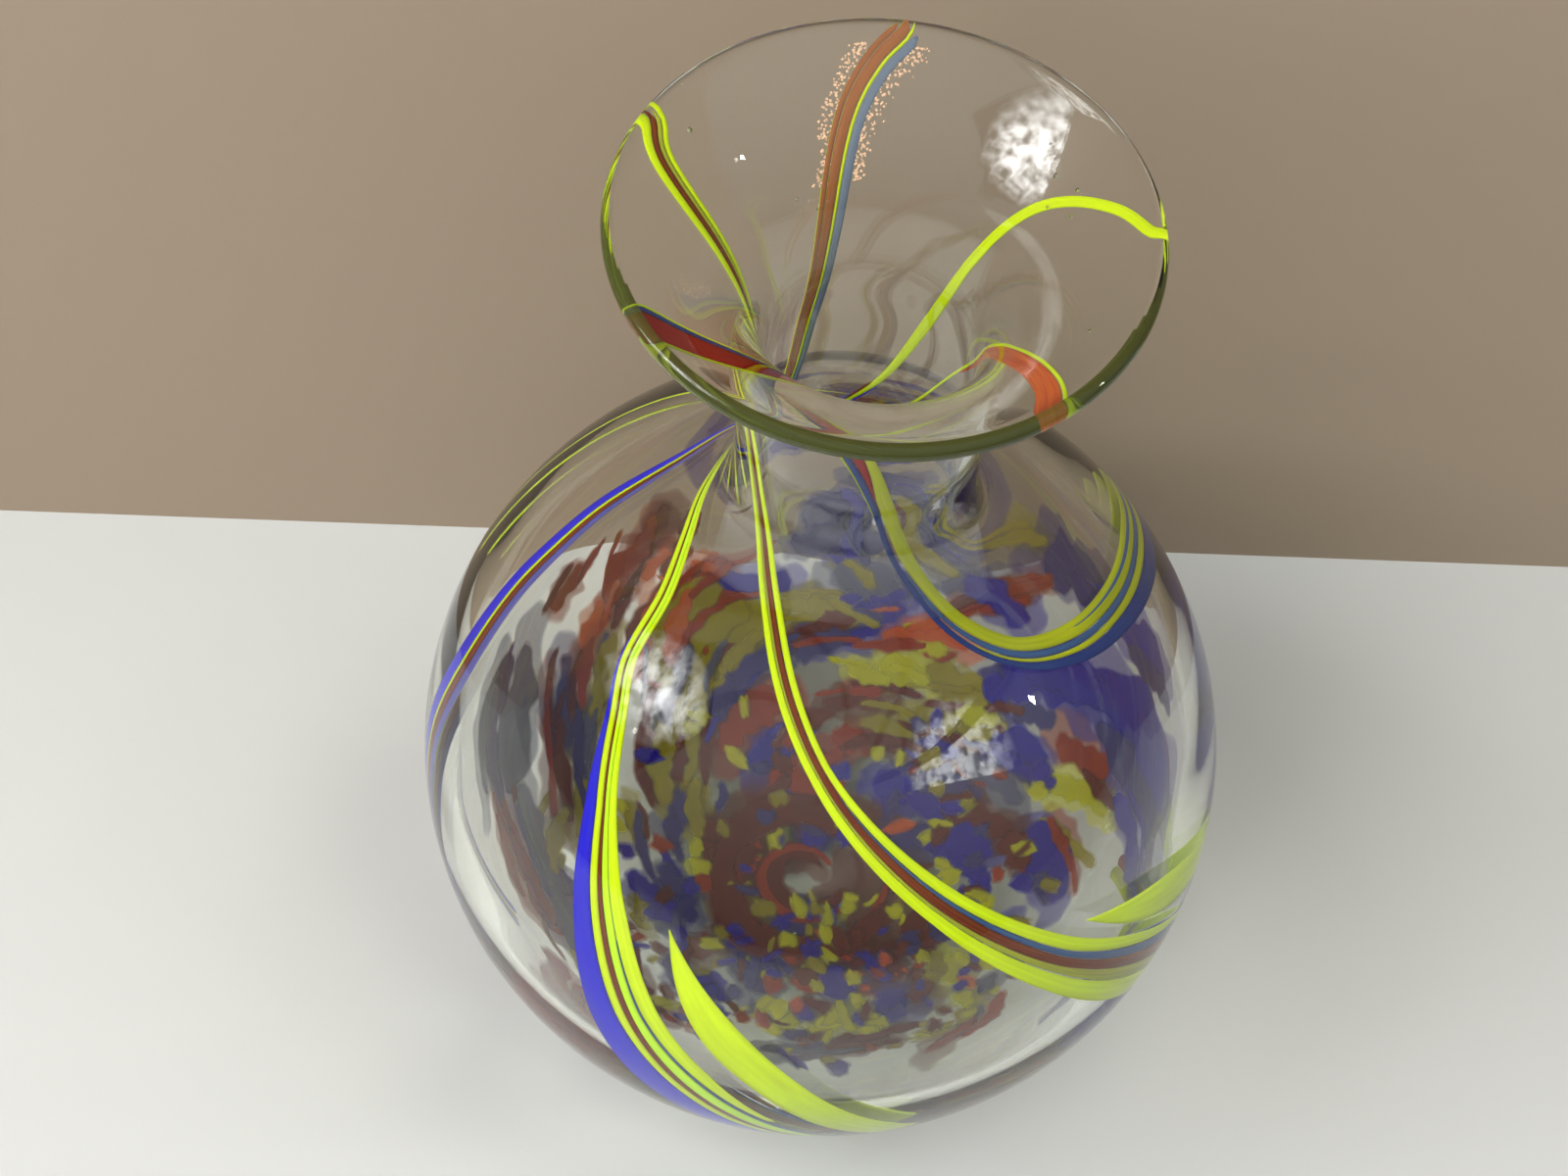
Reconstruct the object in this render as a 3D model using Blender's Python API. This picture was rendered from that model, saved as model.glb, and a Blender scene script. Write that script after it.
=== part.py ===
"""Hand-blown round glass vase with a narrow neck and a flared mouth.

The vase is built up as its maker gathers it: an inner gather of clear glass that lines the hollow, chips of
coloured glass (frit) rolled onto it, an outer gather of clear glass over the chips, and bundles of drawn
colour cane trailed over the outside from the lip down and round the ball.

Metres, +Z up. The foot stands on z = 0 and the axis of the vase is the Z axis. Angles round the vase are in
degrees from +X, anticlockwise seen from above. A height on the vase is given as a level: 0 at the bottom,
1 at the widest place, 2 where the ball meets the shoulder, 3 at the waist of the neck and 4 at the lip.
"""

import math

import bmesh
import bpy
import numpy as np

# Ball
BALL_RADIUS = 0.0745
BALL_HALF_HEIGHT = 0.0715
FOOT_CUT = 0.005  # how much of the bottom of the ball is flattened to a foot
SHOULDER_ANGLE = 56.4  # where the ball ends, in degrees above its middle

# Neck and mouth
SHOULDER_RISE = 0.049  # from the end of the ball up to the waist
WAIST_RADIUS = 0.0203
FLARE_RISE = 0.0395  # from the waist up to the lip
MOUTH_RADIUS = 0.0413
FLARE_SLOPE = 1.85  # widening for each unit of rise, at the lip

# Walls, from the outside in
OUTER_WALL = 0.0015
OUTER_WALL_NECK = 0.0012
OUTER_FLOOR = 0.0035
FRIT_GAP = 0.0018  # the layer between the gathers, where the chips are
FRIT_GAP_NECK = 0.0004
INNER_WALL = 0.0014
INNER_WALL_NECK = 0.0013
INNER_FLOOR = 0.0032
LIP_OVERHANG = 0.0035  # how far the outer gather closes over the end of the inner one
JOINT_CLEARANCE = 0.00035

# Colour on the walls
CANE_THICKNESS = 0.0008
CANE_CLEARANCE = 0.0004
STRAND_CLEARANCE = 0.00035
CHIP_CLEARANCE = 0.00055  # left on each side of a chip in its layer, for the flat facets round it
CHIP_THICKNESS = FRIT_GAP - 2 * CHIP_CLEARANCE
CHIP_SINK = 0.00012  # chips lie this much inside the middle of their layer, clear of the flat facets

# Smoothness
SIDES = 48
LOWER_STEPS = 9
UPPER_STEPS = 6
SHOULDER_STEPS = 7
FLARE_STEPS = 6
LIP_STEPS = 4
LEAST_STEP = 0.02  # levels nearer to each other than this become one
LINE_POINTS = 3201
ROUTE_STEPS = 24
CANE_SAMPLES = 27
LEAF_SAMPLES = 9
CHIP_SAMPLES = 8
CREASE_ANGLE = 40  # edges sharper than this many degrees stay crisp

CENTRE = BALL_HALF_HEIGHT - FOOT_CUT
SHOULDER = CENTRE + BALL_HALF_HEIGHT * math.sin(math.radians(SHOULDER_ANGLE))
WAIST = SHOULDER + SHOULDER_RISE
MOUTH = WAIST + FLARE_RISE

GLASS = (0.90, 0.95, 0.90)
POLISHED = 0.02  # roughness of the clear glass
SATIN = 0.12  # roughness of the coloured glass
COLOURS = {
    "yellow": (0.62, 0.80, 0.01),
    "cobalt": (0.02, 0.02, 0.55),
    "blue": (0.05, 0.10, 0.35),
    "brown": (0.16, 0.04, 0.015),
    "red": (0.30, 0.01, 0.01),
    "orange": (0.62, 0.13, 0.03),
    "brick": (0.36, 0.06, 0.03),
    "olive": (0.32, 0.31, 0.04),
    "navy": (0.05, 0.04, 0.16),
}

# Each bundle of cane: its route as (turn, level) points, its width at the lip, shoulder and tail, and its
# strands with their shares of the width, from left to right as seen from outside with the lip at the top.
TAIL_LEVEL = 0.6
CANES = {
    "a": {
        "route": [(154, 3.99), (162, 3.93), (173, 3.68), (185, 3.43), (200, 3.18), (213, 3.0), (222, 2.72),
                  (232, 2.5), (246, 2.29), (258, 2.13), (268, 2.01), (284, 1.78), (300, 1.52), (317, 1.22),
                  (335, 0.94), (355, 0.72)],
        "widths": (0.0050, 0.0060, 0.0130),
        "strands": [("yellow_lower", "yellow", 0.36), ("brown", "brown", 0.20), ("blue", "blue", 0.14),
                    ("yellow_upper", "yellow", 0.30)],
    },
    "b": {
        "route": [(89, 3.99), (96, 3.93), (105, 3.79), (117, 3.41), (124, 3.0), (134, 2.68), (155, 2.45),
                  (172, 2.33), (190, 2.25), (204, 2.14), (213, 2.0), (222, 1.88), (231, 1.68), (238, 1.47),
                  (249, 1.13), (262, 0.9), (276, 0.74)],
        "widths": (0.0060, 0.0062, 0.0150),
        "strands": [("blue", "cobalt", 0.28), ("yellow_left", "yellow", 0.18), ("brown", "brown", 0.16),
                    ("yellow_middle", "yellow", 0.22), ("yellow_right", "yellow", 0.16)],
    },
    "c": {
        "route": [(7, 3.99), (18, 3.93), (33, 3.78), (43, 3.49), (53, 3.2), (75, 2.71), (95, 2.47),
                  (115, 2.31), (135, 2.2), (154, 2.1), (173, 1.9), (182, 1.72), (189, 1.5), (193, 1.2),
                  (200, 0.95), (212, 0.78)],
        "widths": (0.0034, 0.0052, 0.0100),
        "strands": [("cobalt", "cobalt", 0.34), ("yellow", "yellow", 0.22), ("brown", "brown", 0.20),
                    ("violet", "navy", 0.24)],
    },
    "d": {
        "route": [(213, 3.99), (222, 3.9), (236, 3.72), (252, 3.51), (270, 3.25), (281, 3.0), (293, 2.69),
                  (307, 2.43), (319, 2.24), (332, 2.09), (346, 1.99), (363, 1.87), (379, 1.74), (391, 1.61),
                  (402, 1.46)],
        "widths": (0.0074, 0.0070, 0.0120),
        "strands": [("blue_outer", "cobalt", 0.26), ("yellow_outer", "yellow", 0.17),
                    ("blue_inner", "blue", 0.15), ("yellow_inner", "yellow", 0.22), ("red", "red", 0.20)],
    },
    "e": {
        "route": [(310, 3.99), (316, 3.93), (330, 3.7), (346, 3.5), (364, 3.3), (393, 2.92), (420, 2.57),
                  (450, 2.27), (475, 2.06), (489, 1.86), (508, 1.6), (526, 1.24)],
        "widths": (0.0050, 0.0036, 0.0030),
        "strands": [("orange", "orange", 0.6), ("yellow", "yellow", 0.4)],
    },
}

# Two broad leaves of yellow cane that start at a point on the front of the ball.
LEAVES = {
    "yellow_leaf_front": [(250, 1.50), (254, 1.38), (260, 1.24), (268, 1.08), (277, 0.93), (288, 0.80)],
    "yellow_leaf_right": [(316, 1.42), (323, 1.34), (332, 1.24), (342, 1.12), (352, 0.98), (362, 0.86)],
}
LEAF_WIDTH = 0.0055
LEAF_POINT = 0.12  # width of a leaf at its pointed end, as a share of its full width
CHIP_POINT = 0.1  # how far along a chip's rounded outline its cut ends lie

# Chips of frit: colour, where each starts and ends as (turn, degrees up from the bottom), and its width.
CHIPS = [
    ("cobalt", (35, 67), (-6, 86), 0.0190),
    ("cobalt", (46, 41), (26, 50), 0.0070),
    ("cobalt", (92, 80), (72, 83), 0.0080),
    ("cobalt", (101, 66), (88, 71), 0.0070),
    ("cobalt", (84, 42), (74, 59), 0.0080),
    ("navy", (54, 82), (42, 95), 0.0130),
    ("cobalt", (64, 24), (38, 29), 0.0080),
    ("brick", (59, 60), (56, 75), 0.0060),
    ("orange", (71, 46), (60, 56), 0.0055),
    ("olive", (67, 36), (54, 42), 0.0055),
    ("olive", (20, 46), (6, 62), 0.0060),
    ("olive", (48, 33), (38, 36), 0.0040),
    ("orange", (27, 55), (13, 62), 0.0060),
    ("olive", (119, 52), (108, 51), 0.0080),
    ("brown", (101, 51), (90, 53), 0.0070),
    ("olive", (147, 33), (121, 45), 0.0060),
    ("brick", (124, 30), (104, 37), 0.0060),
    ("brick", (134, 16), (92, 22), 0.0070),
    ("brown", (90, 31), (75, 33), 0.0035),
    ("orange", (141, 62), (124, 73), 0.0080),
    ("navy", (162, 56), (149, 62), 0.0055),
    ("olive", (166, 46), (150, 52), 0.0055),
    ("navy", (169, 66), (157, 71), 0.0075),
    ("brick", (195, 61), (181, 67), 0.0070),
    ("brick", (211, 51), (198, 54), 0.0060),
    ("red", (230, 71), (219, 63), 0.0100),
    ("navy", (176, 24), (150, 27), 0.0060),
    ("cobalt", (268, 7), (279, 17), 0.0055),
    ("cobalt", (284, 25), (292, 29), 0.0060),
    ("olive", (266, 27), (274, 29), 0.0050),
    ("brown", (318, 20), (308, 27), 0.0070),
    ("olive", (330, 33), (320, 36), 0.0055),
    ("cobalt", (228, 14), (206, 17), 0.0060),
    ("brown", (304, 46), (296, 48), 0.0060),
]

# Sections across a piece of colour, as (share of the half width, share of the half thickness)
STRAND_SECTION = [(-1.0, -1.0), (-1.0, 1.0), (1.0, 1.0), (1.0, -1.0)]
CHIP_SECTION = [(-1.0, 0.0), (-0.5, 1.0), (0.5, 1.0), (1.0, 0.0), (0.5, -1.0), (-0.5, -1.0)]
BROAD_SECTION = [(-1.0, 0.0), (-0.6, 1.0), (0.0, 1.0), (0.6, 1.0),
                 (1.0, 0.0), (0.6, -1.0), (0.0, -1.0), (-0.6, -1.0)]
BROAD_CHIP = 0.0075  # chips wider than this have the broad section


def hermite(x, start, end):
    """A smooth curve between two (x, value, slope) points."""
    span = end[0] - start[0]
    t = (x - start[0]) / span
    return (
        (2 * t**3 - 3 * t**2 + 1) * start[1]
        + (t**3 - 2 * t**2 + t) * span * start[2]
        + (3 * t**2 - 2 * t**3) * end[1]
        + (t**3 - t**2) * span * end[2]
    )


def radius_at(z):
    """Radius of the outside at heights from the middle of the ball up to the lip."""
    rise = (z - CENTRE) / BALL_HALF_HEIGHT
    ball = BALL_RADIUS * np.sqrt(np.clip(1 - rise**2, 0, 1))
    end = math.sin(math.radians(SHOULDER_ANGLE))
    end_radius = BALL_RADIUS * math.sqrt(1 - end**2)
    end_slope = -BALL_RADIUS * end / (BALL_HALF_HEIGHT * math.sqrt(1 - end**2))
    neck = hermite(z, (SHOULDER, end_radius, end_slope), (WAIST, WAIST_RADIUS, 0))
    flare = hermite(z, (WAIST, WAIST_RADIUS, 0), (MOUTH, MOUTH_RADIUS, FLARE_SLOPE))
    return np.where(z < SHOULDER, ball, np.where(z < WAIST, neck, flare))


def height_at(level):
    """Height of a level from 1, the widest place, to 4, the lip."""
    angle = np.radians(SHOULDER_ANGLE * np.clip(level - 1, 0, 1))
    ball = CENTRE + BALL_HALF_HEIGHT * np.sin(angle)
    return ball + SHOULDER_RISE * np.clip(level - 2, 0, 1) + FLARE_RISE * np.clip(level - 3, 0, 1)


def line_at(levels, side, floor, neck):
    """(radius, height) at each level of the surface that lies this deep in the wall.

    side, floor and neck are its depths at the widest place, under the bottom and in the neck. Below the
    widest place it is a quarter of an ellipse. Above, it is the outside moved in along its own normals.
    """
    low = np.radians(90 * np.clip(levels, 0, 1))
    lower = np.stack([(BALL_RADIUS - side) * np.sin(low), CENTRE - (CENTRE - floor) * np.cos(low)], 1)
    z = height_at(levels)
    step = BALL_RADIUS / 1000
    slope = (radius_at(z + step) - radius_at(z - step)) / (2 * step)
    share = np.clip((z - CENTRE) / (WAIST - CENTRE), 0, 1)
    depth = side + (neck - side) * share**2 * (3 - 2 * share)
    long = np.sqrt(1 + slope**2)
    upper = np.stack([radius_at(z) - depth / long, z + depth * slope / long], 1)
    return np.where(levels[:, None] < 1, lower, upper)


def station_levels(top=4.0):
    """The levels that every wall surface has its edges at, so that neighbouring facets stay parallel."""
    levels = np.concatenate([
        np.linspace(0, 1, LOWER_STEPS, endpoint=False),
        np.linspace(1, 2, UPPER_STEPS, endpoint=False),
        np.linspace(2, 3, SHOULDER_STEPS, endpoint=False),
        np.linspace(3, 4, FLARE_STEPS + 1),
    ])
    return np.append(levels[levels < top - LEAST_STEP], top)


def turned_solid(name, profile, colour, roughness):
    """Turns a closed (radius, height) profile, which starts and ends on the axis, into a solid."""
    angles = np.linspace(0, 2 * math.pi, SIDES, endpoint=False)
    inner = profile[1:-1]
    rings = np.stack([
        inner[:, None, 0] * np.cos(angles),
        inner[:, None, 0] * np.sin(angles),
        np.repeat(inner[:, 1:], SIDES, axis=1),
    ], axis=-1).reshape(-1, 3)
    first, last = len(rings), len(rings) + 1
    points = np.vstack([rings, (0, 0, profile[0, 1]), (0, 0, profile[-1, 1])])
    faces = []
    for side in range(SIDES):
        after = (side + 1) % SIDES
        faces.append((first, after, side))
        top = (len(inner) - 1) * SIDES
        faces.append((last, top + side, top + after))
        for row in range(len(inner) - 1):
            here = row * SIDES
            above = here + SIDES
            faces.append((here + side, here + after, above + after, above + side))
    return solid_from(name, points, faces, colour, roughness, transmission=1.0)


def material_for(name, colour, roughness, transmission):
    material = bpy.data.materials.new(name)
    material.use_nodes = True
    shader = material.node_tree.nodes["Principled BSDF"]
    shader.inputs["Base Color"].default_value = (*colour, 1)
    shader.inputs["Roughness"].default_value = roughness
    shader.inputs["Metallic"].default_value = 0.0
    shader.inputs["Transmission Weight"].default_value = transmission
    return material


def solid_from(name, points, faces, colour, roughness, transmission=0.0):
    """A named object from points and faces, with its faces turned outwards and its own material."""
    mesh = bpy.data.meshes.new(name)
    mesh.from_pydata([tuple(point) for point in points], [], faces)
    tool = bmesh.new()
    tool.from_mesh(mesh)
    bmesh.ops.recalc_face_normals(tool, faces=tool.faces)
    tool.to_mesh(mesh)
    tool.free()
    mesh.shade_smooth()
    mesh.set_sharp_from_angle(angle=math.radians(CREASE_ANGLE))
    mesh.materials.append(material_for(name, colour, roughness, transmission))
    thing = bpy.data.objects.new(name, mesh)
    bpy.context.scene.collection.objects.link(thing)
    return thing


# Depths in the wall of each surface, as (side, floor, neck)
FRIT_OUTSIDE = (OUTER_WALL, OUTER_FLOOR, OUTER_WALL_NECK)
FRIT_INSIDE = (
    OUTER_WALL + FRIT_GAP,
    OUTER_FLOOR + FRIT_GAP,
    OUTER_WALL_NECK + FRIT_GAP_NECK,
)
HOLLOW = (
    FRIT_INSIDE[0] + INNER_WALL,
    FRIT_INSIDE[1] + INNER_FLOOR,
    FRIT_INSIDE[2] + INNER_WALL_NECK,
)
CHIP_BED = tuple((outside + inside) / 2 + CHIP_SINK for outside, inside in zip(FRIT_OUTSIDE, FRIT_INSIDE))


def outside_line(levels):
    """The outside of the vase, flattened to a foot at the bottom."""
    return line_at(levels, 0, -FOOT_CUT, 0)


def foot_level():
    """The level where the ball is cut flat."""
    return math.degrees(math.acos(CENTRE / BALL_HALF_HEIGHT)) / 90


def lip_end():
    """The level where the inner gather stops, a little below the lip."""
    return 4 - LIP_OVERHANG / math.hypot(FLARE_RISE, MOUTH_RADIUS - WAIST_RADIUS)


def outer_gather():
    """Foot, ball, neck and lip: the second gather, with its rounded lip closing over the inner one."""
    levels = station_levels()
    outside = outside_line(np.append(foot_level(), levels[levels > foot_level() + LEAST_STEP]))
    inside_top = line_at(np.array([4.0]), *HOLLOW)[0]
    outside_top = outside[-1]
    middle = (outside_top + inside_top) / 2
    half = (outside_top - inside_top) / 2
    ahead = np.array([-half[1], half[0]])
    turn = np.linspace(0, math.pi, LIP_STEPS + 2)[1:-1, None]
    lip = middle + half * np.cos(turn) + ahead * np.sin(turn)
    step = np.array([lip_end() + JOINT_CLEARANCE / math.hypot(FLARE_RISE, MOUTH_RADIUS - WAIST_RADIUS)])
    inside = line_at(station_levels(step[0]), *FRIT_OUTSIDE)
    profile = np.vstack([
        (0, 0),
        outside,
        lip,
        inside_top,
        line_at(step, *HOLLOW),
        inside[::-1],
    ])
    turned_solid("outer_gather", profile, GLASS, POLISHED)


def inner_gather():
    """The first gather: the bubble that lines the hollow from its floor to just below the lip."""
    levels = station_levels(lip_end())
    profile = np.vstack([line_at(levels, *FRIT_INSIDE), line_at(levels, *HOLLOW)[::-1]])
    turned_solid("inner_gather", profile, GLASS, POLISHED)


class Surface:
    """One surface of revolution in the wall, with the nearest point on it and its normal."""

    def __init__(self, side, floor, neck):
        self.levels = np.linspace(0, 4, LINE_POINTS)
        self.line = line_at(self.levels, side, floor, neck)
        along = np.gradient(self.line, axis=0)
        along /= np.linalg.norm(along, axis=1, keepdims=True)
        self.normal = np.stack([along[:, 1], -along[:, 0]], 1)
        self.run = np.append(0, np.cumsum(np.linalg.norm(np.diff(self.line, axis=0), axis=1)))

    def run_at(self, level):
        return np.interp(level, self.levels, self.run)

    def at(self, turn, run):
        """Points at these turns, in radians, and runs up the wall."""
        radius = np.interp(run, self.run, self.line[:, 0])
        height = np.interp(run, self.run, self.line[:, 1])
        return np.stack([radius * np.cos(turn), radius * np.sin(turn), height], -1)

    def normals(self, points):
        return self.laid(points, 0)[1]

    def laid(self, points, height):
        """The points moved onto the surface and lifted off it by height, and the normals there."""
        radius = np.hypot(points[..., 0], points[..., 1])
        flat = np.stack([radius, points[..., 2]], -1).reshape(-1, 2)
        nearest = ((flat[:, None] - self.line[None]) ** 2).sum(-1).argmin(1)
        line = self.line[nearest].reshape(*radius.shape, 2)
        normal = self.normal[nearest].reshape(*radius.shape, 2)
        round_it = np.stack([points[..., 0] / radius, points[..., 1] / radius], -1)
        place = line + normal * np.asarray(height)[..., None]
        laid = np.concatenate([round_it * place[..., :1], place[..., 1:]], -1)
        return laid, np.concatenate([round_it * normal[..., :1], normal[..., 1:]], -1)


def smooth_route(turns, runs, samples):
    """Evenly spaced samples of a smooth curve through the route's points (Catmull-Rom)."""
    points = np.stack([turns, runs], 1)
    ends = np.vstack([2 * points[0] - points[1], points, 2 * points[-1] - points[-2]])
    t = np.linspace(0, 1, ROUTE_STEPS, endpoint=False)[:, None]
    pieces = []
    for p0, p1, p2, p3 in zip(ends, ends[1:], ends[2:], ends[3:]):
        pieces.append(
            0.5 * (2 * p1 + (p2 - p0) * t + (2 * p0 - 5 * p1 + 4 * p2 - p3) * t**2
                   + (3 * p1 - p0 - 3 * p2 + p3) * t**3)
        )
    fine = np.vstack([*pieces, points[-1:]])
    size = (fine - fine[0]) * ((BALL_RADIUS + WAIST_RADIUS) / 2, 1)
    length = np.append(0, np.cumsum(np.linalg.norm(np.diff(size, axis=0), axis=1)))
    even = np.linspace(0, length[-1], samples)
    return np.stack([np.interp(even, length, fine[:, axis]) for axis in (0, 1)], 1)


def ribbon(name, surface, middle, left, right, lift, thickness, section, colour):
    """A flat strand of glass along a line of points on a surface.

    left and right are how far its edges lie to the left of the line, at each point, seen from outside with
    the lip at the top. lift is how high its middle is above the surface.
    """
    along = np.gradient(middle, axis=0)
    along /= np.linalg.norm(along, axis=1, keepdims=True)
    across = np.cross(along, surface.normals(middle))
    across /= np.linalg.norm(across, axis=1, keepdims=True)
    shape = np.array(section)
    offset = (left + right)[:, None] / 2 + (left - right)[:, None] / 2 * -shape[:, 0]
    flat = middle[:, None] + across[:, None] * offset[..., None]
    height = lift + thickness / 2 * np.repeat(shape[None, :, 1], len(middle), axis=0)
    rings, _ = surface.laid(flat, height)
    count = len(section)
    faces = [tuple(range(count)), tuple(range((len(rings) - 1) * count, len(rings) * count))]
    for row in range(len(rings) - 1):
        for k in range(count):
            here = row * count
            after = (k + 1) % count
            faces.append((here + k, here + after, here + count + after, here + count + k))
    solid_from(name, rings.reshape(-1, 3), faces, COLOURS[colour], SATIN)


def route_on(surface, route, samples):
    turns = np.radians([turn for turn, _ in route])
    runs = surface.run_at([level for _, level in route])
    return smooth_route(turns, runs, samples)


def canes(outside):
    """The bundles of colour cane, each strand its own piece."""
    lift = CANE_CLEARANCE + CANE_THICKNESS / 2
    for key, cane in CANES.items():
        path = route_on(outside, cane["route"], CANE_SAMPLES)
        middle = outside.at(path[:, 0], path[:, 1])
        lip, shoulder, tail = cane["widths"]
        runs = outside.run_at([TAIL_LEVEL, 2.0, 4.0])
        width = np.interp(path[:, 1], runs, [tail, shoulder, lip])
        edge = width / 2
        for label, colour, share in cane["strands"]:
            right = edge - share * width
            gap = STRAND_CLEARANCE / 2
            ribbon(f"cane_{key}_{label}", outside, middle, edge - gap, right + gap, lift, CANE_THICKNESS,
                   STRAND_SECTION, colour)
            edge = right


def leaves(outside):
    """The broad yellow leaves, pointed where they start."""
    lift = CANE_CLEARANCE + CANE_THICKNESS / 2
    for name, route in LEAVES.items():
        path = route_on(outside, route, LEAF_SAMPLES)
        middle = outside.at(path[:, 0], path[:, 1])
        open_up = np.linspace(0, 1, len(middle))
        half = LEAF_WIDTH / 2 * (LEAF_POINT + (1 - LEAF_POINT) * np.sin(math.pi / 2 * open_up))
        ribbon(name, outside, middle, half, -half, lift, CANE_THICKNESS, CHIP_SECTION, "yellow")


def chips():
    """The chips of frit, bedded between the gathers."""
    bed = Surface(*CHIP_BED)
    counts = {}
    for colour, start, end, width in CHIPS:
        counts[colour] = counts.get(colour, 0) + 1
        turns, up = np.linspace(start, end, 3).T
        levels = np.minimum(up, 90) / 90 + np.maximum(up - 90, 0) / SHOULDER_ANGLE
        path = smooth_route(np.radians(turns), bed.run_at(levels), CHIP_SAMPLES)
        middle = bed.at(path[:, 0], path[:, 1])
        belly = np.sin(math.pi * np.linspace(CHIP_POINT, 1 - CHIP_POINT, CHIP_SAMPLES))
        half = width / 2 * belly
        section = BROAD_SECTION if width > BROAD_CHIP else CHIP_SECTION
        name = f"frit_{colour}_{counts[colour]}"
        ribbon(name, bed, middle, half, -half, 0, CHIP_THICKNESS, section, colour)


for old in list(bpy.data.objects):
    bpy.data.objects.remove(old, do_unlink=True)
outer_gather()
inner_gather()
OUTSIDE = Surface(0, -FOOT_CUT, 0)
canes(OUTSIDE)
leaves(OUTSIDE)
chips()
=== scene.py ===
"""A hand-blown art glass vase: a round clear body with a narrow neck and a flared mouth, chips of coloured glass
swirled inside its wall and bundles of drawn cane trailed over the outside from the lip down round the ball.

Metres, +Z up, the axis of the vase on the Z axis, its foot on z = 0. Turns round the vase are in degrees from +X,
anticlockwise seen from above. A height on the wall is a level: 0 is the middle of the bottom, 1 the widest place,
2 the end of the ball, 3 the waist of the neck, 4 the lip, and 4 to 5 goes over the rounded lip to the inside.
"""

import math

import bpy
import numpy as np
from mathutils import Matrix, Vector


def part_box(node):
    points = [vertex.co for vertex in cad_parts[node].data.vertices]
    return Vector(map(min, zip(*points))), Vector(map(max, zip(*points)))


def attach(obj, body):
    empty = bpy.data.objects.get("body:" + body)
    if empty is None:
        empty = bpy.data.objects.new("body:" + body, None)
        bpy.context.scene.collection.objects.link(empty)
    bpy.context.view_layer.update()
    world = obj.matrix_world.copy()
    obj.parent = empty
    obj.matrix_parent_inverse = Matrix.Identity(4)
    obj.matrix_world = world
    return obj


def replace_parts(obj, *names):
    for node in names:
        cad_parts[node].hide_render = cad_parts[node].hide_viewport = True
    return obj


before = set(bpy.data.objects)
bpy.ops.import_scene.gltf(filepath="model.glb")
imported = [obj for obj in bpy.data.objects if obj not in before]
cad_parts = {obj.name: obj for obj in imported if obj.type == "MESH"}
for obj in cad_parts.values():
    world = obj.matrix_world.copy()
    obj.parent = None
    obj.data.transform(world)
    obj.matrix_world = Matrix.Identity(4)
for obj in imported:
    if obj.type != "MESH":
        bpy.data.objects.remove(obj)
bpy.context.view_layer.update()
scene = bpy.context.scene

# ---------------------------------------------------------------- Camera
# Held by hand above the front of the vase, looking steeply down past the mouth into the ball, a little tilted.
CAMERA_PLACE = (-0.00971, -0.28536, 0.55112)
LOOKING_DOWN = math.radians(56.63)
TILT = math.radians(5.675)

camera_data = bpy.data.cameras.new("camera")
camera_data.lens = 67.5
camera_data.sensor_width = 36
camera_data.clip_start = 0.01
camera = bpy.data.objects.new("camera", camera_data)
scene.collection.objects.link(camera)
ahead = np.array([0, math.cos(LOOKING_DOWN), -math.sin(LOOKING_DOWN)])
level_right = np.array([1, 0, 0])
level_up = np.cross(level_right, ahead)
to_right = math.cos(TILT) * level_right + math.sin(TILT) * level_up
to_up = -math.sin(TILT) * level_right + math.cos(TILT) * level_up
camera_turn = np.eye(4)
camera_turn[:3, 0] = to_right
camera_turn[:3, 1] = to_up
camera_turn[:3, 2] = -ahead
camera_turn[:3, 3] = CAMERA_PLACE
camera.matrix_world = Matrix(camera_turn.tolist())
scene.camera = camera

# ---------------------------------------------------------------- Table, wall and light
# A pale table top against a plain painted wall. The wall shows only its painted face, so that it doesn't stand in
# the way of a look from behind. The room is darker near the floor, with a window on the left, its light broken up
# by leaves outside, and a small lamp on the right.
WALL_START = (-0.75, 0.0349)
WALL_END = (0.75, 0.1491)
WALL_HEIGHT = 0.9
TABLE_HALF = 1.6
TABLE_LEVEL = -0.0003
TABLE_COLOUR = (0.52, 0.53, 0.52)
WALL_COLOUR = (0.330, 0.258, 0.188)


def fill(node, values):
    """Set a node's sockets by their names."""
    for socket, value in values.items():
        node.inputs[socket].default_value = value


def wire(links, *pairs):
    """Link sockets: each pair is (from node, its output, to node, its input)."""
    for start, output, end, into in pairs:
        links.new(start.outputs[output], end.inputs[into])


def new_material(name):
    """A material, with its nodes and its links."""
    material = bpy.data.materials.new(name)
    material.use_nodes = True
    return material, material.node_tree.nodes, material.node_tree.links


def plain_material(name, colour, roughness):
    material, nodes, _ = new_material(name)
    fill(nodes["Principled BSDF"], {"Base Color": (*colour, 1), "Roughness": roughness})
    return material


def flat_sheet(name, corners, material):
    mesh = bpy.data.meshes.new(name)
    mesh.from_pydata(corners, [], [(0, 1, 2, 3)])
    mesh.materials.append(material)
    sheet = bpy.data.objects.new(name, mesh)
    scene.collection.objects.link(sheet)
    return sheet


def soft_lamp(name, place, aim, size, watts, colour, mirrored=True):
    """A rectangular lamp. Glass shows no picture of it if mirrored is off."""
    lamp = bpy.data.lights.new(name, "AREA")
    lamp.shape = "RECTANGLE"
    lamp.size, lamp.size_y = size
    lamp.energy = watts
    lamp.color = colour
    holder = bpy.data.objects.new(name, lamp)
    scene.collection.objects.link(holder)
    back = np.array(place) - np.array(aim)
    back = back / np.linalg.norm(back)
    side = np.cross((0, 0, 1), back)
    side = side / np.linalg.norm(side) if np.linalg.norm(side) > 1e-6 else np.array([1.0, 0, 0])
    turn = np.eye(4)
    turn[:3, 0], turn[:3, 1], turn[:3, 2], turn[:3, 3] = side, np.cross(back, side), back, place
    holder.matrix_world = Matrix(turn.tolist())
    holder.visible_glossy = mirrored
    holder.visible_transmission = mirrored


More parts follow.
